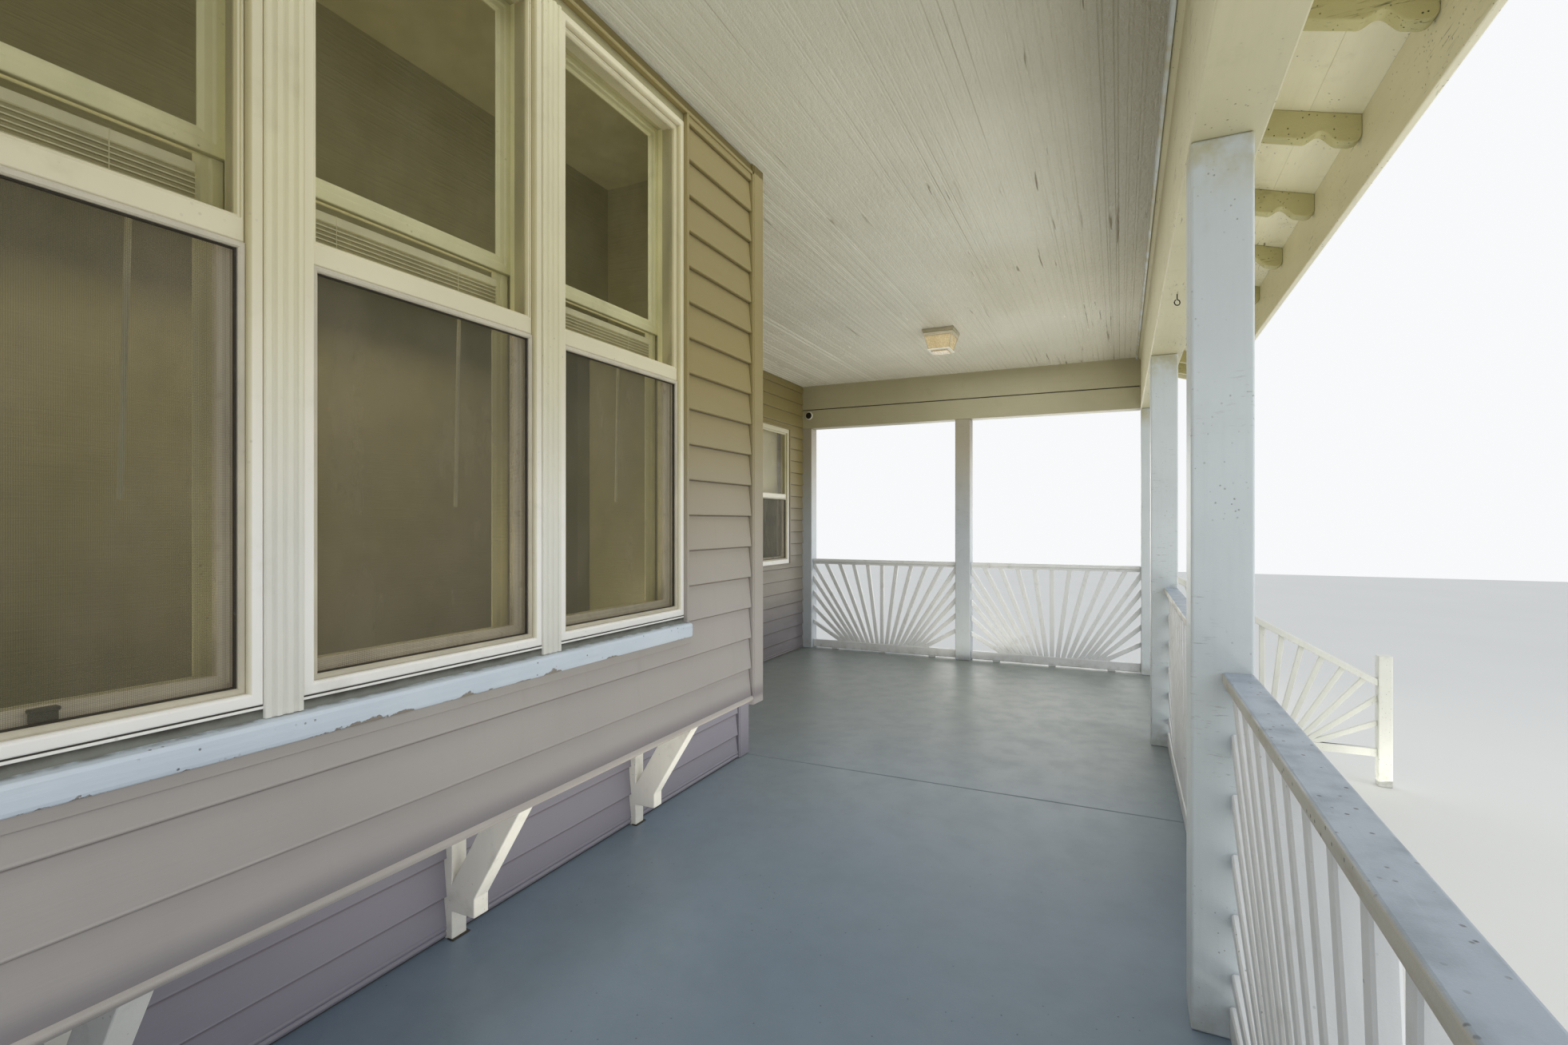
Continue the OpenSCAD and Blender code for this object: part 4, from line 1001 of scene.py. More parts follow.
def siding(name, lay, *patches, slanted=None):  # a patch is (start, end, foot, head)
    shapes = []
    for start, end, low, high in patches:
        outline = lapOutline(low, high)
        begin = np.maximum(start, slanted(outline[:, 1])) if slanted else start
        shapes.append(carried(outline, begin, end, lay))
    addPiece(name, shapes, "siding", "siding")


def allSiding():
    channel, endOfBay = trimLook["channel"], bayHigh[0] - bayEnd
    left, right = windowsLow[0] - channel, windowsHigh[0] + channel
    siding("baySiding", bayLay, (bayLow[0] + bayEnd, endOfBay, bayFootZ, underSillZ),
           (bayLow[0] + bayEnd, left, underSillZ, headerZ), (right, endOfBay, underSillZ, headerZ))
    for side, lay in bayEndLays.items():
        siding("bay" + side + "EndSiding", lay, (bayY + bayEnd, mainY, bayFootZ, headerZ))
    past, over = 0.014, bayLow[2] - 0.002  # the wall's siding stops this far from the bay
    siding("lowerSiding", mainLay, (mainX, cornerX - mainEnd, startZ, over),
           (bayHigh[0] + past, cornerX - mainEnd, over, headerZ), (mainX, bayLow[0] - past, over, headerZ))
    inner = 0.015  # from an inner corner
    siding("returnSiding", returnLay, (mainY + mainEnd, alcoveY - inner, startZ, headerZ))
    left, right = sideLow[0] - channel, sideHigh[0] + channel
    siding("alcoveSiding", alcoveLay, (cornerX + inner, doorLow[0], startZ, headerZ),
           (doorLow[0], doorHigh[0], doorHigh[2], headerZ), (doorHigh[0], left, startZ, headerZ),
           (left, right, startZ, sideLow[2] - channel), (left, right, sideHigh[2] + channel, headerZ),
           (right, wallEndX, startZ, headerZ))
    wallBack, foot, sink, slack, ridge = corners("back_wall")[1], 0.03, 0.04, 0.03, 0.05
    eaves = roofLift + roofSlope * mainY - sink
    siding("partySiding", sideLay(porch["outerEnd"], -1), (mainY, wallBack[1], foot, eaves),
           (mainY, wallBack[1], eaves, wallBack[2] - ridge),
           slanted=lambda up: (up + slack - roofLift) / roofSlope)  # y where the roof is at that height


def ridged(low, high, out, ridges=2):  # a flat strip with rounded ridges along it
    across = np.linspace(0, 1, 8 * ridges + 1)
    bulge = out * (0.72 + 0.28 * np.abs(np.sin(np.pi * ridges * across)))
    return onWall(columns(bulge, low + (high - low) * across))


def sidingTrim():
    look, channel = trimLook, trimLook["channel"]
    foot = ridged(bayLow[2] - look["bayFoot"], bayFootZ, look["bayFootOut"], 1)
    feet = [carried(foot, bayLow[0] + bayPost, bayHigh[0] - bayPost, bayLay)]
    feet += [carried(foot, bayY + bayPost, mainY, lay) for lay in bayEndLays.values()]
    addPiece("bayFootTrim", feet, "sidingEdge", "siding")

    starter = ridged(deckTop + look["starter"], startZ, look["starterOut"])
    alongFoot = (
        (mainX, cornerX - mainPost, mainLay), (cornerX, doorLow[0], alcoveLay),
        (doorHigh[0], wallEndX, alcoveLay), (mainY + mainPost, alcoveY, returnLay))
    shapes = [carried(starter, *run) for run in alongFoot]
    alongHead = (
        (bayLow[0], bayHigh[0], bayLay), (bayHigh[0], cornerX, mainLay), (mainX, bayLow[0], mainLay),
        (cornerX, wallEndX, alcoveLay), (mainY, alcoveY, returnLay),
        *((bayY, mainY, lay) for lay in bayEndLays.values()))
    shapes += [carried(onWall(look["head"], headerZ), *run) for run in alongHead]
    gutter, foot, head = onWall(look["gutter"]), sideLow[2] - channel, sideHigh[2] + channel
    for left, low, high, plane in (
            (windowsHigh[0], sillHigh[2], headerZ, bayY),
            (windowsLow[0] - channel, sillHigh[2], headerZ, bayY),
            (sideLow[0] - channel, foot, head, alcoveY),
            (sideHigh[0], foot, head, alcoveY)):
        shapes.append(carried(
            gutter[:, ::-1] + [left, 0], low, high, lambda a, b, s: columns(a, plane - b, s)))
    shapes.append(carried(
        onWall(look["underSill"], underSillZ), windowsLow[0] - look["sillPast"],
        windowsHigh[0] + look["sillPast"], bayLay))
    for low in (sideLow[2] - channel, sideHigh[2]):
        shapes.append(carried(gutter + [0, low], sideLow[0], sideHigh[0], alcoveLay))
    addPiece("sidingTrim", shapes, "sidingPlain", "siding")


dirtAndShadowLook = {
    "thin": 0.0003,  # rounding of the lines
    "out": 0.002,  # from the wall, inside the corner posts' pockets
    "wallFoot": 0.008,  # height and depth of the line along the deck
    "brackets": 4, "bracket": 0.055,  # width of a bracket
    "caulk": (-0.003, -0.048, 0.0002), "caulkTo": (0.064, -0.02, 0.0045),  # from a bracket's corner
    "gable": (0.003, 0.01, 0.0004), "gableTo": 0.0076,  # a line along the gables' feet
    "deckGap": 0.0004, "overlap": 0.001, "shadowDeep": 0.002,
    "lip": (0.003, 0.0075, 0.0028),  # its reach, and its foot and head below the windows' foot
}


def darkJoints():  # thin dark boards where dirt and shadow gather, and the lip under the windows
    look, end = dirtAndShadowLook, cornerX - mainPost
    thin, out, foot = (look[k] for k in ("thin", "out", "wallFoot"))
    dark = [
        boards([mainX, mainY - foot, deckTop + look["deckGap"]], [end, mainY, deckTop + foot], 0.0005),
        boards([cornerX - mainEnd, mainY - out, startZ], [end, mainY, headerZ], thin),
        boards([cornerX, mainY + mainPost, startZ], [cornerX + out, mainY + mainEnd, headerZ], thin)]
    for start in (bayLow[0] + bayPost, bayHigh[0] - bayEnd):
        dark.append(boards([start, bayY - out, bayFootZ], [start + postLook["pocket"], bayY, headerZ], thin))
    for left in np.linspace(bayLow[0], bayHigh[0] - look["bracket"], look["brackets"]):
        place = np.array([left, mainY, deckTop])
        dark.append(boards(place + look["caulk"], place + look["caulkTo"], 0.0015))
    for name, rear in (("near_gable", mainY), ("far_gable", alcoveY)):
        low, high = corners(name)
        top = [high[0] - look["gable"][0], rear - look["overlap"], low[2] + look["gableTo"]]
        dark.append(boards(low + look["gable"], top, thin))
    addPiece("dirtAndShadowLines", dark, "dirt", "siding")
    left, right, foot = windowsLow[0], windowsHigh[0], windowsLow[2]
    over, deep, (reach, under, head) = look["overlap"], look["shadowDeep"], look["lip"]
    # a dark board that stands in for the shade in the gap under the window frames
    gapShadow = boards([left, bayY - over, sillHigh[2] - over], [right, bayY + deep, foot + deep], 0.0005)
    addPiece("sillGap", [gapShadow], "gapShade", "white_paint")
    lip = boards([left, bayY - reach, foot - under], [right, bayY, foot - head], 0.0008)
    addPiece("frameLip", [lip], "windowWhite", "window_white")


def cornerPosts():
    # Round the corner from one wall to the other: a return, a flat face with a small step near its
    # edge, a rounded arris, and the same again on the other wall
    out, arris, step, stepAt = (postLook[k] for k in ("out", "arris", "step", "stepAt"))
    turn, shapes, stepEnd, deckGap = np.linspace(np.pi / 2, 0, 5), [], stepAt + 0.002, 0.004
    for x, y, way, width, foot in (
            (bayLow[0], bayY, -1, bayPost, bayLow[2] - out), (bayHigh[0], bayY, 1, bayPost, bayLow[2] - out),
            (cornerX, mainY, 1, mainPost, deckTop + deckGap)):
        half = np.array([
            [-width, 0], [-width, out - step], [-width + stepAt, out - step], [-width + stepEnd, out],
            [out - arris, out]])
        arc = out - arris + arris * columns(np.cos(turn), np.sin(turn))
        section = np.concatenate([half, arc[1:-1], half[::-1, ::-1], [[0, 0]]])
        shapes.append(carried(section, foot, ceilingZ, lambda a, b, s: columns(x + way * a, y - b, s)))
    addPiece("cornerTrim", shapes, "sidingPlain", "siding", "corner_posts")


allSiding()
sidingTrim()
darkJoints()
cornerPosts()
print("siding hung")


windowLook = {  # pairs are steps of a frame's section, (inset, depth behind the wall's plane)
    "count": 3, "mullion": 0.065,
    "frame": 0.022,  # width of the bay windows' frames
    "alcoveFrame": 0.042,
    "middle": 1.808,  # height of the meeting rails above the deck
    "meeting": 0.048, "proud": 0.004, "soft": 0.0012,
    "deep": 0.07, "ease": 0.002, "inner": 0.005,  # depth of the frames, their edges, and the inner edge
    "upper": (0.013, 0.048, 0.013), "lower": (0.024, 0.032, 0.048),  # widths of side, foot and head
    "upperDepth": (0.009, 0.035), "lowerDepth": (0.035, 0.061),  # of the sashes behind the wall's plane
    "liner": ((0.0001, 0.0345), (0.0001, 0.0246), (0.0014, 0.0246), (0.0014, 0.0345)),
    "screenRim": ((0, 0.024), (0, 0.008), (0.0033, 0.006), (0.0088, 0.006), (0.011, 0.009), (0.011, 0.024)),
    "screenCord": ((0.011, 0.020), (0.011, 0.014), (0.0122, 0.0125), (0.0136, 0.014), (0.0136, 0.020)),
    "net": (0.0055, 0.019),
    "member": 0.045,  # width of the inner sashes' members
    "meetRise": 0.166,  # of the inner sashes' meeting over the outer one's
    "slats": 6, "slatDrop": 0.0092, "headRail": 0.02, "railEdge": 0.002, "slatDepth": 0.02,
    "slatRise": 0.0026, "slatThick": 0.0022, "cords": (0.16, 0.76), "cord": 0.0008, "wand": 0.0045,
    "slatSink": 0.002, "firstSlat": 0.005, "lastSlat": 0.004, "footRail": 0.006,
    "gathered": ((0.0045, -0.001), (0.0195, 0.006)),  # (depth, rise) where the gathered blades start and end
    "cordDepth": 0.0002, "cordStep": 0.006,  # the cord at the back stands this far beside the front one
    "innerDepth": 0.013, "lining": 0.008, "blindFree": 0.004, "blindBehind": 0.001,
    "wandShares": (0.743, 0.71, 0.622), "wandEnds": (2.059, 2.060, 2.088),
    "wandTop": (0.012, 0.007, -0.002), "wandDepth": 0.006,
    "latchAt": (0.547, 0.032),  # its share across the first window and height over the windows' foot
    "latch": (  # a plate and a bar: low and high corner from its place, and rounding
        ((-0.0145, 0.022, 0), (0.0145, 0.036, 0.017), 0.002),
        ((-0.0165, 0.0205, 0.016), (0.0165, 0.036, 0.022), 0.0015)),
}


def sash(box, side, foot, head, front, back):
    # A flat with a rounded outer edge, a cove down to the glass, and a square back
    left, right, low, high = box
    glass = (left + side, right - side, low + foot, high - head)
    outer = rim(box, front, (0, back - front), (0, 0.003), (0.003, 0))
    return ringFrame(outer + rim(
        glass, front, (side * -0.55, 0), (side * -0.45, 0.003), (side * -0.2, 0.004), (0, 0.009),
        (0, back - front)))


def glazed(names, node, boxes, middle, wall, frame):
    # Each window has a frame with its upper sash, a lower sash behind it with a liner, and in front
    # of that a screen: rim, cord and net
    look, half = windowLook, windowLook["meeting"] / 2
    proud, deep, ease, inner = (look[k] for k in ("proud", "deep", "ease", "inner"))
    fixed, hung, rims, cords, nets = [], [], [], [], []
    for box in boxes:
        fixed.append(ringFrame(rim(
            box, wall, (0, deep), (0, ease - proud), (ease, -proud), (frame - 2 * ease, -proud),
            (frame - ease, ease - proud), (frame, inner - proud), (frame, deep))))
        left, right, low, high, _ = rim(box, wall, (frame, 0))[0]
        for found, foot, head, part in (
                (fixed, middle - half, high, "upper"), (hung, low, middle + half, "lower")):
            depths = [wall + depth for depth in look[part + "Depth"]]
            found.append(sash((left, right, foot, head), *look[part], *depths))
        opening = (left, right, low, middle - half)
        for found, part in ((hung, "liner"), (rims, "screenRim"), (cords, "screenCord")):
            found.append(ringFrame(rim(opening, wall, *look[part])))
        nets.append((ringFrame(rim(opening, wall, look["net"]))[0], [[0, 1, 2, 3]]))
    addPiece(names[0], fixed, "windowWhite", "window_white", node, soften=look["soft"])
    addPiece(names[1], hung, "agedSash", "window_white", soften=look["soft"])
    addPiece(names[2], rims, "screenFrame", "window_white")
    addPiece(names[3], cords, "spline", "window_white")
    addPiece(names[4], nets, "insectScreen", "window_glass", recalc=False)


def bladesOf(left, right, front, top):
    # Each blade is a shallow arc across its depth, carried along the window; the foot rail is a board
    look, turn = windowLook, np.linspace(-1, 1, 7)
    deep, edge = look["slatDepth"], look["railEdge"]
    outer = columns(deep / 2 * (turn + 1), look["slatRise"] * (1 - turn ** 2))
    section = np.concatenate([outer, outer[::-1] - [0, look["slatThick"]]])
    section += [front, -look["slatSink"]]
    rail = top - look["headRail"]
    under = rail - look["firstSlat"]
    foot = under - look["slatDrop"] * look["slats"] + look["lastSlat"]
    found = [boards([left, front, rail], [right, front + deep, top], edge),
             boards([left, front, foot - look["footRail"]], [right, front + deep, foot], edge)]
    for index in range(look["slats"]):
        up = under - look["slatDrop"] * index
        found.append(carried(section + [0, up], left, right, alongPorch))
    (near, sink), (far, rise) = look["gathered"]
    # the gathered blades as one board behind the slats, in the darker slat paint: painted shade between the
    # slats
    back = boards([left, front + near, foot + sink], [right, front + far, under + rise], 0.001)
    for share in look["cords"]:
        x = left + (right - left) * share
        for cordX, cordY in ((x, front + look["cordDepth"]), (x + look["cordStep"], front + deep)):
            found.append(rod([[cordX, cordY, foot], [cordX, cordY, top]], look["cord"], 6))
    return found, back


def bayInside(boxes, middle):  # the inner sashes, the raised blinds and their wands
    look, member, split = windowLook, windowLook["member"], middle + windowLook["meetRise"]
    innerLow, innerHigh = corners("inner_sashes")
    blindLow, blindHigh = corners("blinds")
    front, wide, free, lining = innerLow[1], [member] * 3, member + look["blindFree"], look["lining"]
    between, depth = front + look["innerDepth"], bayY + look["deep"] - front
    inside, slats, slatGapShades, wands = [], [], [], []
    for (left, right, low, high), wandShare, wandEnd in zip(boxes, look["wandShares"], look["wandEnds"]):
        upper, lower = (left, right, split - member / 2, high), (left, right, low, split + member / 2)
        liner = rim((left, right, low, high), front, (0, depth), (lining, depth), (lining, 0), (0, 0))
        inside += [sash(upper, *wide, front, between), sash(lower, *wide, between, innerHigh[1]),
                   ringFrame(liner)]
        blades, back = bladesOf(left + free, right - free, front + look["blindBehind"], blindHigh[2])
        slats += blades
        slatGapShades.append(back)
        wandX = left + (right - left) * wandShare
        head = np.add([wandX, front, blindLow[2]], look["wandTop"])
        path = [head, [wandX, front + look["wandDepth"], wandEnd]]
        wands.append(rod(path, look["wand"], 10))
    addPiece("roomSashes", inside, "innerPaint", "inner_sash", "inner_sashes", soften=0.0015)
    addPiece("blindSlats", slats, "slat", "blind", "blinds")
    addPiece("blindSlatShade", slatGapShades, "slatShade", "blind")
    addPiece("blindWands", wands, "slat", "blind")


def bayWindows():
    look = windowLook
    width = (windowsHigh[0] - windowsLow[0] - 2 * look["mullion"]) / look["count"]
    lefts = windowsLow[0] + (width + look["mullion"]) * np.arange(look["count"])
    boxes = [(left, left + width, windowsLow[2], windowsHigh[2]) for left in lefts]
    middle = deckTop + look["middle"]
    glazed(("bayWindowFrames", "lowerSashes", "screenRims", "screenSplines", "insectScreens"), "bay_windows",
           boxes, middle, bayY, look["frame"])
    bayInside(boxes, middle)
    share, rise = look["latchAt"]
    place = np.array([lefts[0] + width * share, bayY, windowsLow[2] + rise])
    latch = [boards(place + low, place + high, edge) for low, high, edge in look["latch"]]
    addPiece("sashLatch", latch, "darkMetal", "window_white")


def alcoveWindow():  # with a dark sheet behind its lower half that stands in for the shadowed room, and a shade behind the upper one
    low, high, inset, front, back = sideLow, sideHigh, 0.03, alcoveY + 0.118, alcoveY + 0.124
    middle = (low[2] + high[2]) / 2
    glazed(("alcoveWindowFrame", "alcoveLowerSash", "alcoveScreenRim", "alcoveScreenSpline", "alcoveScreen"),
           "alcove_window", [(low[0], high[0], low[2], high[2])], middle, alcoveY, windowLook["alcoveFrame"])
    for name, finish, foot, head in (
            ("alcoveRoomShadow", "roomShadow", low[2] + inset, middle),
            ("alcoveShade", "shade", middle, high[2] - inset)):
        sheet = boards([low[0] + inset, front, foot], [high[0] - inset, back, head], 0.001)
        addPiece(name, [sheet], finish, "blind")


coverLook = {
    "width": 0.065, "edge": 0.004,
    "flutes": (-0.018, 0, 0.018), "fluteHalf": 0.0046, "flute": 0.0034,  # their places, half width and depth
}


def flutedCovers():
    # The cover's face is a flat with three round hollows; its outer edges are quarter rounds
    look, width, (low, high) = coverLook, coverLook["width"], corners("mullion_covers")
    place = (np.linspace(0, 1, 61) - 0.5) * width
    out = np.full_like(place, high[1] - low[1])
    for centre in look["flutes"]:
        dip = np.clip(1 - ((place - centre) / look["fluteHalf"]) ** 2, 0, None)
        out = out - look["flute"] * np.sqrt(dip)
    edge = np.clip(1 - (width / 2 - np.abs(place)) / look["edge"], 0, 1)
    out = out - look["edge"] * (1 - np.sqrt(1 - np.minimum(edge, 0.999) ** 2))
    section = np.concatenate([columns(place, out), [[width / 2, 0], [-width / 2, 0]]])
    shapes = [carried(section + [left + width / 2, 0], low[2], high[2],
                      lambda a, b, s: columns(a, high[1] - b, s)) for left in (low[0], high[0] - width)]
    addPiece("flutedCovers", shapes, "coverWhite", "white_paint", "mullion_covers")


def sillBoard():
    # A board with a sloping top and a rounded nose, the nose drawn as half an ellipse
    low, high = corners("bay_sill")
    turn = np.linspace(-np.pi / 2, np.pi / 2, 9)
    depth, height, reach, slope = high[1] - low[1], high[2] - low[2], 0.006, 0.003
    flat = np.sign(np.sin(turn)) * np.abs(np.sin(turn)) ** 0.45  # a nose that is nearly upright
    nose = columns(depth - reach + reach * np.cos(turn), height * (0.5 + 0.5 * flat))
    nose[:, 1] -= np.linspace(0, slope, 9)
    section = np.concatenate([[[0, 0]], nose, [[0, height]]])
    shape = carried(section, low[0], high[0], lambda a, b, s: columns(s, high[1] - a, low[2] + b))
    addPiece("sillBoard", [shape], "sillPaint", "white_paint", "bay_sill")


roomLook = {
    "under": 0.005, "over": 0.0008,  # the ceiling sheet's faces below the porch's ceiling
    "head": 2.76, "headFront": 0.04, "headBack": 0.14,  # height and depths of the opening's head
}


def roomCeiling():  # over the room and over the bay, and the head between the two
    look, shapes = roomLook, []
    under, over = ceilingZ - look["under"], ceilingZ - look["over"]
    for name in ("room_floor", "bay_floor"):
        low, high = corners(name)
        shapes.append(boards([low[0], low[1], under], [high[0], high[1], over], 0.0005))
    shapes.append(boards(
        [low[0], mainY + look["headFront"], look["head"]],
        [high[0], mainY + look["headBack"], under + 0.001], 0.002))
    addPiece("roomCeiling", shapes, "wallCore", "cream_paint")


bayWindows()
flutedCovers()
sillBoard()
alcoveWindow()
roomCeiling()
print("windows glazed")


skirtLook = {
    "board": 0.118, "gap": 0.004, "rim": 0.235, "thick": 0.02, "rimEdge": 0.003, "boardEdge": 0.0025,
    "corner": 0.038,  # what the front boards leave free at both ends
}


def skirt(name, along, outer):  # a rim board over upright boards with a thin gap between neighbours
    look, across, (low, high) = skirtLook, 1 - along, corners(name)
    rimLow, free = high[2] - look["rim"], 0 if along else look["corner"]
    start, end = low[along] + free, high[along] - free
    count = int((end - start) / look["board"])
    step = (end - start) / count
    edges = start + step * np.arange(count)
    lows, highs = np.zeros((count, 3)), np.full((count, 3), rimLow)
    lows[:, along], highs[:, along] = edges, edges + step - look["gap"]
    lows[:, across] = low[across] if outer else high[across] - look["thick"]
    highs[:, across] = low[across] + look["thick"] if outer else high[across]
    shapes = [boards([low[0], low[1], rimLow], high, look["rimEdge"]), boards(lows, highs, look["boardEdge"])]
    addPiece(name + "_boards", shapes, "skirtPaint", "white_paint", name, recalc=False)


doorLook = {
    "stile": 0.11, "columns": 2, "rows": 3,
    "core": 0.008, "layer": 0.01, "sunk": 0.0003,  # the core's face, the stiles' depth, the rails' set back
    "mould": ((0, 0.009), (0, 0.002), (0.004, 0.0015), (0.009, 0.004), (0.014, 0.0065), (0.018, 0.009)),
    "field": ((0.03, 0.009), (0.055, 0.003), (0.06, 0.002), (0.06, 0.009)),
    "raised": 0.06,  # inset of the field's flat
    "knobIn": 0.06, "knobUp": 0.95, "lockUp": 0.14,  # the lock sits this far over the knob
    "knob": (
        (0, 0.03), (0.006, 0.03), (0.012, 0.012), (0.03, 0.011), (0.04, 0.024), (0.052, 0.028), (0.062, 0.02),
        (0.066, 0.004)),
    "lock": ((0, 0.028), (0.006, 0.027), (0.010, 0.018), (0.012, 0.004)),
}


def frontDoor():
    # A leaf with six raised fields, each set in a moulded frame, and its knob and lock plate
    look, (low, high) = doorLook, corners("front_door")
    front, stile, columns, rows = low[1], look["stile"], look["columns"], look["rows"]
    width = (high[0] - low[0] - (columns + 1) * stile) / columns
    height = (high[2] - low[2] - (rows + 1) * stile) / rows
    lefts = low[0] + stile + (width + stile) * np.arange(columns)
    feet = low[2] + stile + (height + stile) * np.arange(rows)
    shapes, layer = [boards([low[0], front + look["core"], low[2]], high, 0.001)], front + look["layer"]
    for left in (*(lefts - stile), high[0] - stile):
        shapes.append(boards([left, front, low[2]], [left + stile, layer, high[2]], 0.002))
    for left in lefts:
        for foot in (*(feet - stile), high[2] - stile):
            rail = [left, front + look["sunk"], foot], [left + width, layer, foot + stile]
            shapes.append(boards(*rail, 0.002))
        for foot in feet:
            box = (left, left + width, foot, foot + height)
            shapes += [ringFrame(rim(box, front, *look[part])) for part in ("mould", "field")]
            a, b, c, d, depth = rim(box, front, (look["raised"], 0.002))[0]
            shapes.append(boards([a, depth, c], [b, front + look["mould"][0][1], d], 0.0003))
    addPiece("frontDoor", shapes, "doorPaint", "door_paint", "front_door")
    place = np.array([high[0] - look["knobIn"], front, low[2] + look["knobUp"]])
    lock = turned(look["lock"], place + [0, 0, look["lockUp"]], 1, 28)
    addPiece("doorKnob", [turned(look["knob"], place, 1, 28), lock], "brass", "door_paint")


lampLook = {  # sections in (half side, height), each over the level that porchLamp gives it
    "top": 0.103, "foot": 0.073,  # half sides of the lantern at its head and foot
    "plate": ((0.001, -0.001), (0.115, -0.001), (0.115, -0.014), (0.109, -0.02)),
    "neck": ((0.109, 0.004), (0.105, 0), (0.001, 0)),
    "band": ((0.106, 0), (0.106, -0.007), (0.097, -0.008), (0.097, 0)),
    "rim": ((0.080, 0.006), (0.082, 0.001), (0.080, -0.004), (0.061, -0.004), (0.061, 0.006)),
    "tierHead": ((0.001, 0.004), (0.067, 0.004)),
    "tierFoot": ((0.061, 0.004), (0.057, 0), (0.001, 0)),
    "tier": 0.012,  # height of the lower tier of glass
    "bar": 0.0032, "inset": 0.002, "glass": 0.004,  # the panes' distance from the bars and thickness
    "seam": 0.112, "seamFrom": 0.0022, "seamTo": 0.0002,  # the painted shadow line between plate and ceiling
}


def porchLamp():
    # A stepped plate, four amber faces in a white frame that narrows downwards, a rim and a small
    # second tier of glass under it
    look, (low, high), tip = lampLook, corners("lamp_base"), corners("lamp_glass")[0][2]
    top, foot, seam = look["top"], look["foot"], look["seam"]
    x, y, _ = (low + high) / 2
    head, start, end = high[2], low[2], tip + look["tier"]

    def lantern(rows):  # rows of (half side, height), joined as a ring frame lying flat
        points, faces = ringFrame([[x - half, x + half, y - half, y + half, z] for half, z in rows])
        return points[:, [0, 2, 1]], faces

    def layer(part, level):
        return [(half, level + rise) for half, rise in look[part]]

    frame = [lantern(layer("plate", head) + layer("neck", start)), lantern(layer("band", start))]
    for sx, sy in ((-1, -1), (1, -1), (1, 1), (-1, 1)):
        path = [[x + sx * top, y + sy * top, start], [x + sx * foot, y + sy * foot, end]]
        frame.append(rod(path, look["bar"], 8))
    addPiece("lampFrame", frame, "lampMetal", "white_paint", "lamp_base")
    addPiece("lampRim", [lantern(layer("rim", end))], "lampWhite", "white_paint")
    # painted shadow: a thin dark board between the plate and the ceiling
    line = boards(
        [x - seam, y - seam, head - look["seamFrom"]], [x + seam, y + seam, head - look["seamTo"]], 0.0005)
    addPiece("lampSeamShadow", [line], "dirt", "white_paint")
    share = np.linspace(0, 1, 9)
    side, height = top + (foot - top) * share - look["inset"], start + (end - start) * share
    panes = columns(
        np.concatenate([side, side[::-1] - look["glass"]]), np.concatenate([height, height[::-1]]))
    tier = layer("tierHead", end) + layer("tierFoot", tip)
    addPiece("lampGlass", [lantern(panes), lantern(tier)], "amberGlass", "lamp_glass", "lamp_glass")


smallLook = {
    "sensor": (2.2965, 2.425),  # y, and height above the deck
    "ring": ((0, 0.042), (0.004, 0.042), (0.007, 0.039), (0.012, 0.034)),
    "eye": ((0.007, 0.033), (0.012, 0.033), (0.016, 0.028), (0.018, 0.01)),
    "hook": (0.242, -0.864), "hookHalf": 0.012, "hookDrop": 0.036, "wire": 0.0024,
    "hookTurn": (0.427, -0.904),  # the hook's plane, as a direction in plan
    "shank": (0.002, -0.006, -0.014, -0.02),
}


def smallThings():
    look = smallLook
    place = (wallEndX, look["sensor"][0], deckTop + look["sensor"][1])
    addPiece("sensorRing", [turned(look["ring"], place, 0)], "fixtureWhite", "white_paint")
    addPiece("sensorEye", [turned(look["eye"], place, 0)], "darkMetal", "white_paint")
    turn, half = np.linspace(np.pi / 2, -1.35 * np.pi, 22), look["hookHalf"]
    flat = (half * way * np.cos(turn) for way in look["hookTurn"])
    ring = columns(*flat, half * np.sin(turn) - look["hookDrop"])
    hook = np.concatenate([[[0, 0, z] for z in look["shank"]], ring])
    path = hook + [*look["hook"], corners("front_beam")[0][2]]
    addPiece("screwHook", [rod(path, look["wire"], 8)], "darkMetal", "cream_paint")


for name, along, outer in (("skirt_front", 0, False), ("skirt_near", 1, False), ("skirt_far", 1, True)):
    skirt(name, along, outer)
frontDoor()
porchLamp()
smallThings()
print("small things placed")


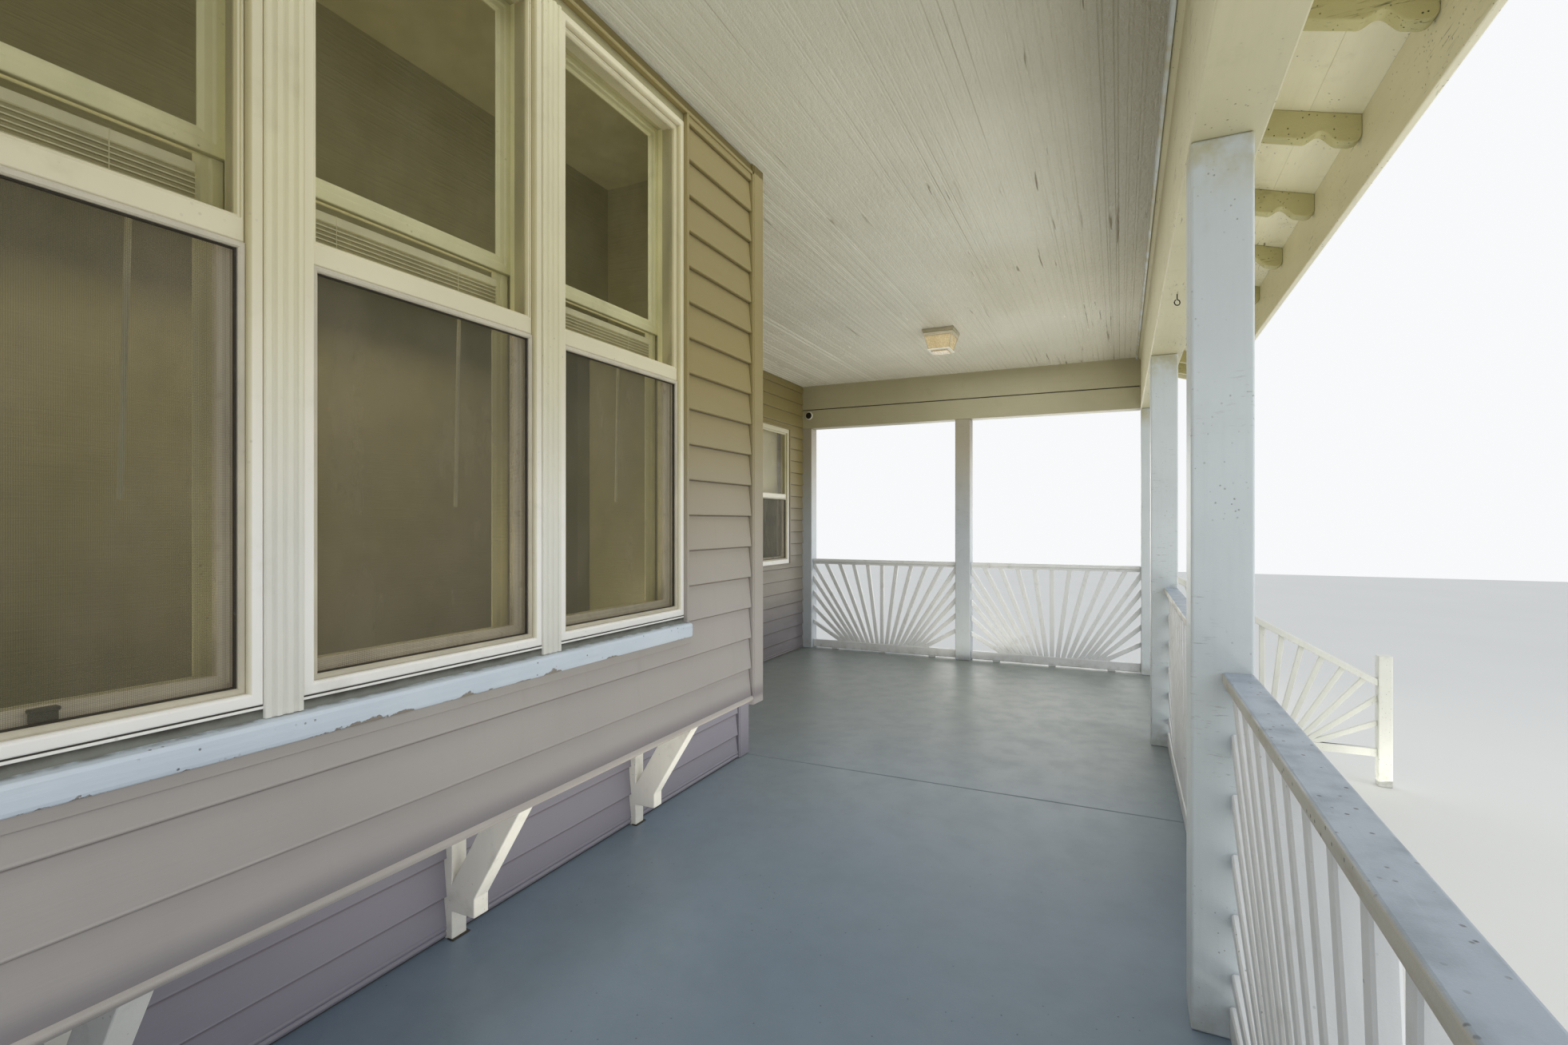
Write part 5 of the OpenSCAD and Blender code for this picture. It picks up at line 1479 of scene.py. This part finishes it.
studio = {
    "floor": (226, 226, 223), "floorHalf": 30.0,
    "backdrop": (0.94, 0.95, 0.96), "skyTone": (0.93, 0.96, 1.0), "skyLevel": 0.8,
}
deckZ, underZ = deckTop + 0.04, ceilingZ - 0.03
softBoxes = {  # place, aim, width, height, power, tone, and whether gloss mirrors it
    "streetLight": ((-1.0, -8.5, 4.2), (0, 0.5, 1.8), 9, 5, 185, (1, 0.98, 0.95), True),
    "endLight": ((-7.5, -0.5, 1.9), (0, 0.3, 2.2), 3, 2.4, 54, (1, 0.98, 0.95), True),
    "farLight": ((8.0, 0.7, 1.9), (0, 0.6, 2.1), 3, 2.4, 45, (1, 0.99, 0.92), True),
    "lawnLight": ((0, -2.5, 0.05), (0, -1.9, 3.4), 8, 1, 45, (1, 0.97, 0.84), False),
    "riseLight": ((0.7, 0.5, deckZ), (0.7, 0.7, 3), 5.6, 0.9, 28, (1, 0.95, 0.8), False),
    "fallLight": ((0.2, 0.3, underZ), (0.2, 0.301, 1), 6.2, 1.2, 32, (0.92, 0.96, 1), False),
    "roomLight": ((-1.7, 1.9, 2.9), (-1.7, 1.8, 1.6), 2.4, 0.5, 12, (1, 0.9, 0.68), True),
    "bayLight": ((-2.1, 1.1, 1.5), (-2.1, 1.14, 3.4), 2.4, 0.3, 11, (1, 0.94, 0.72), False),
}


def studioFloor():
    p, tone = Paint("studioFloor"), studio["floor"]
    p.finish(p.blend(p.patches(0.2, 0.8, 0.35, 3), tone, (*tone, 1.03)), 0.7)
    half, mesh = studio["floorHalf"], bpy.data.meshes.new("studioFloor")
    corner = [(half * x, half * y, 0) for x, y in ((-1, -1), (1, -1), (1, 1), (-1, 1))]
    mesh.from_pydata(corner, [], [(0, 1, 2, 3)])
    inScene("studioFloor", mesh, "studioFloor")


def studioSky():  # soft light on the porch, and plain paper for the camera, for gloss and through panes
    scene.world = bpy.data.worlds.new("studioSky")
    sky = Graph(scene.world)
    rays = sky.node("ShaderNodeLightPath").out.node.outputs
    seen = Value(sky, rays["Is Camera Ray"])
    for kind in ("Is Glossy Ray", "Is Transmission Ray"):
        seen = sky.node("ShaderNodeMath", {"operation": "MAXIMUM"}, {0: seen, 1: Value(sky, rays[kind])})
    light, paper = (
        sky.node("ShaderNodeBackground", None, {"Color": (*tone, 1), "Strength": level})
        for tone, level in ((studio["skyTone"], studio["skyLevel"]), (studio["backdrop"], 1)))
    shown = sky.node("ShaderNodeMixShader", None, {0: seen, 1: light, 2: paper})
    sky.node("ShaderNodeOutputWorld", None, {0: shown})


def softBox(name, place, aim, width, height, power, tone, glossy):
    light = bpy.data.lights.new(name, "AREA")
    light.shape, light.size, light.size_y = "RECTANGLE", width, height
    light.energy, light.color = power, tone
    lamp = bpy.data.objects.new(name, light)
    scene.collection.objects.link(lamp)
    lamp.location = place
    lamp.rotation_euler = (Vector(aim) - Vector(place)).to_track_quat("-Z", "Y").to_euler()
    lamp.visible_camera, lamp.visible_glossy = False, glossy


studioFloor()
studioSky()
for name, look in softBoxes.items():
    softBox(name, *look)
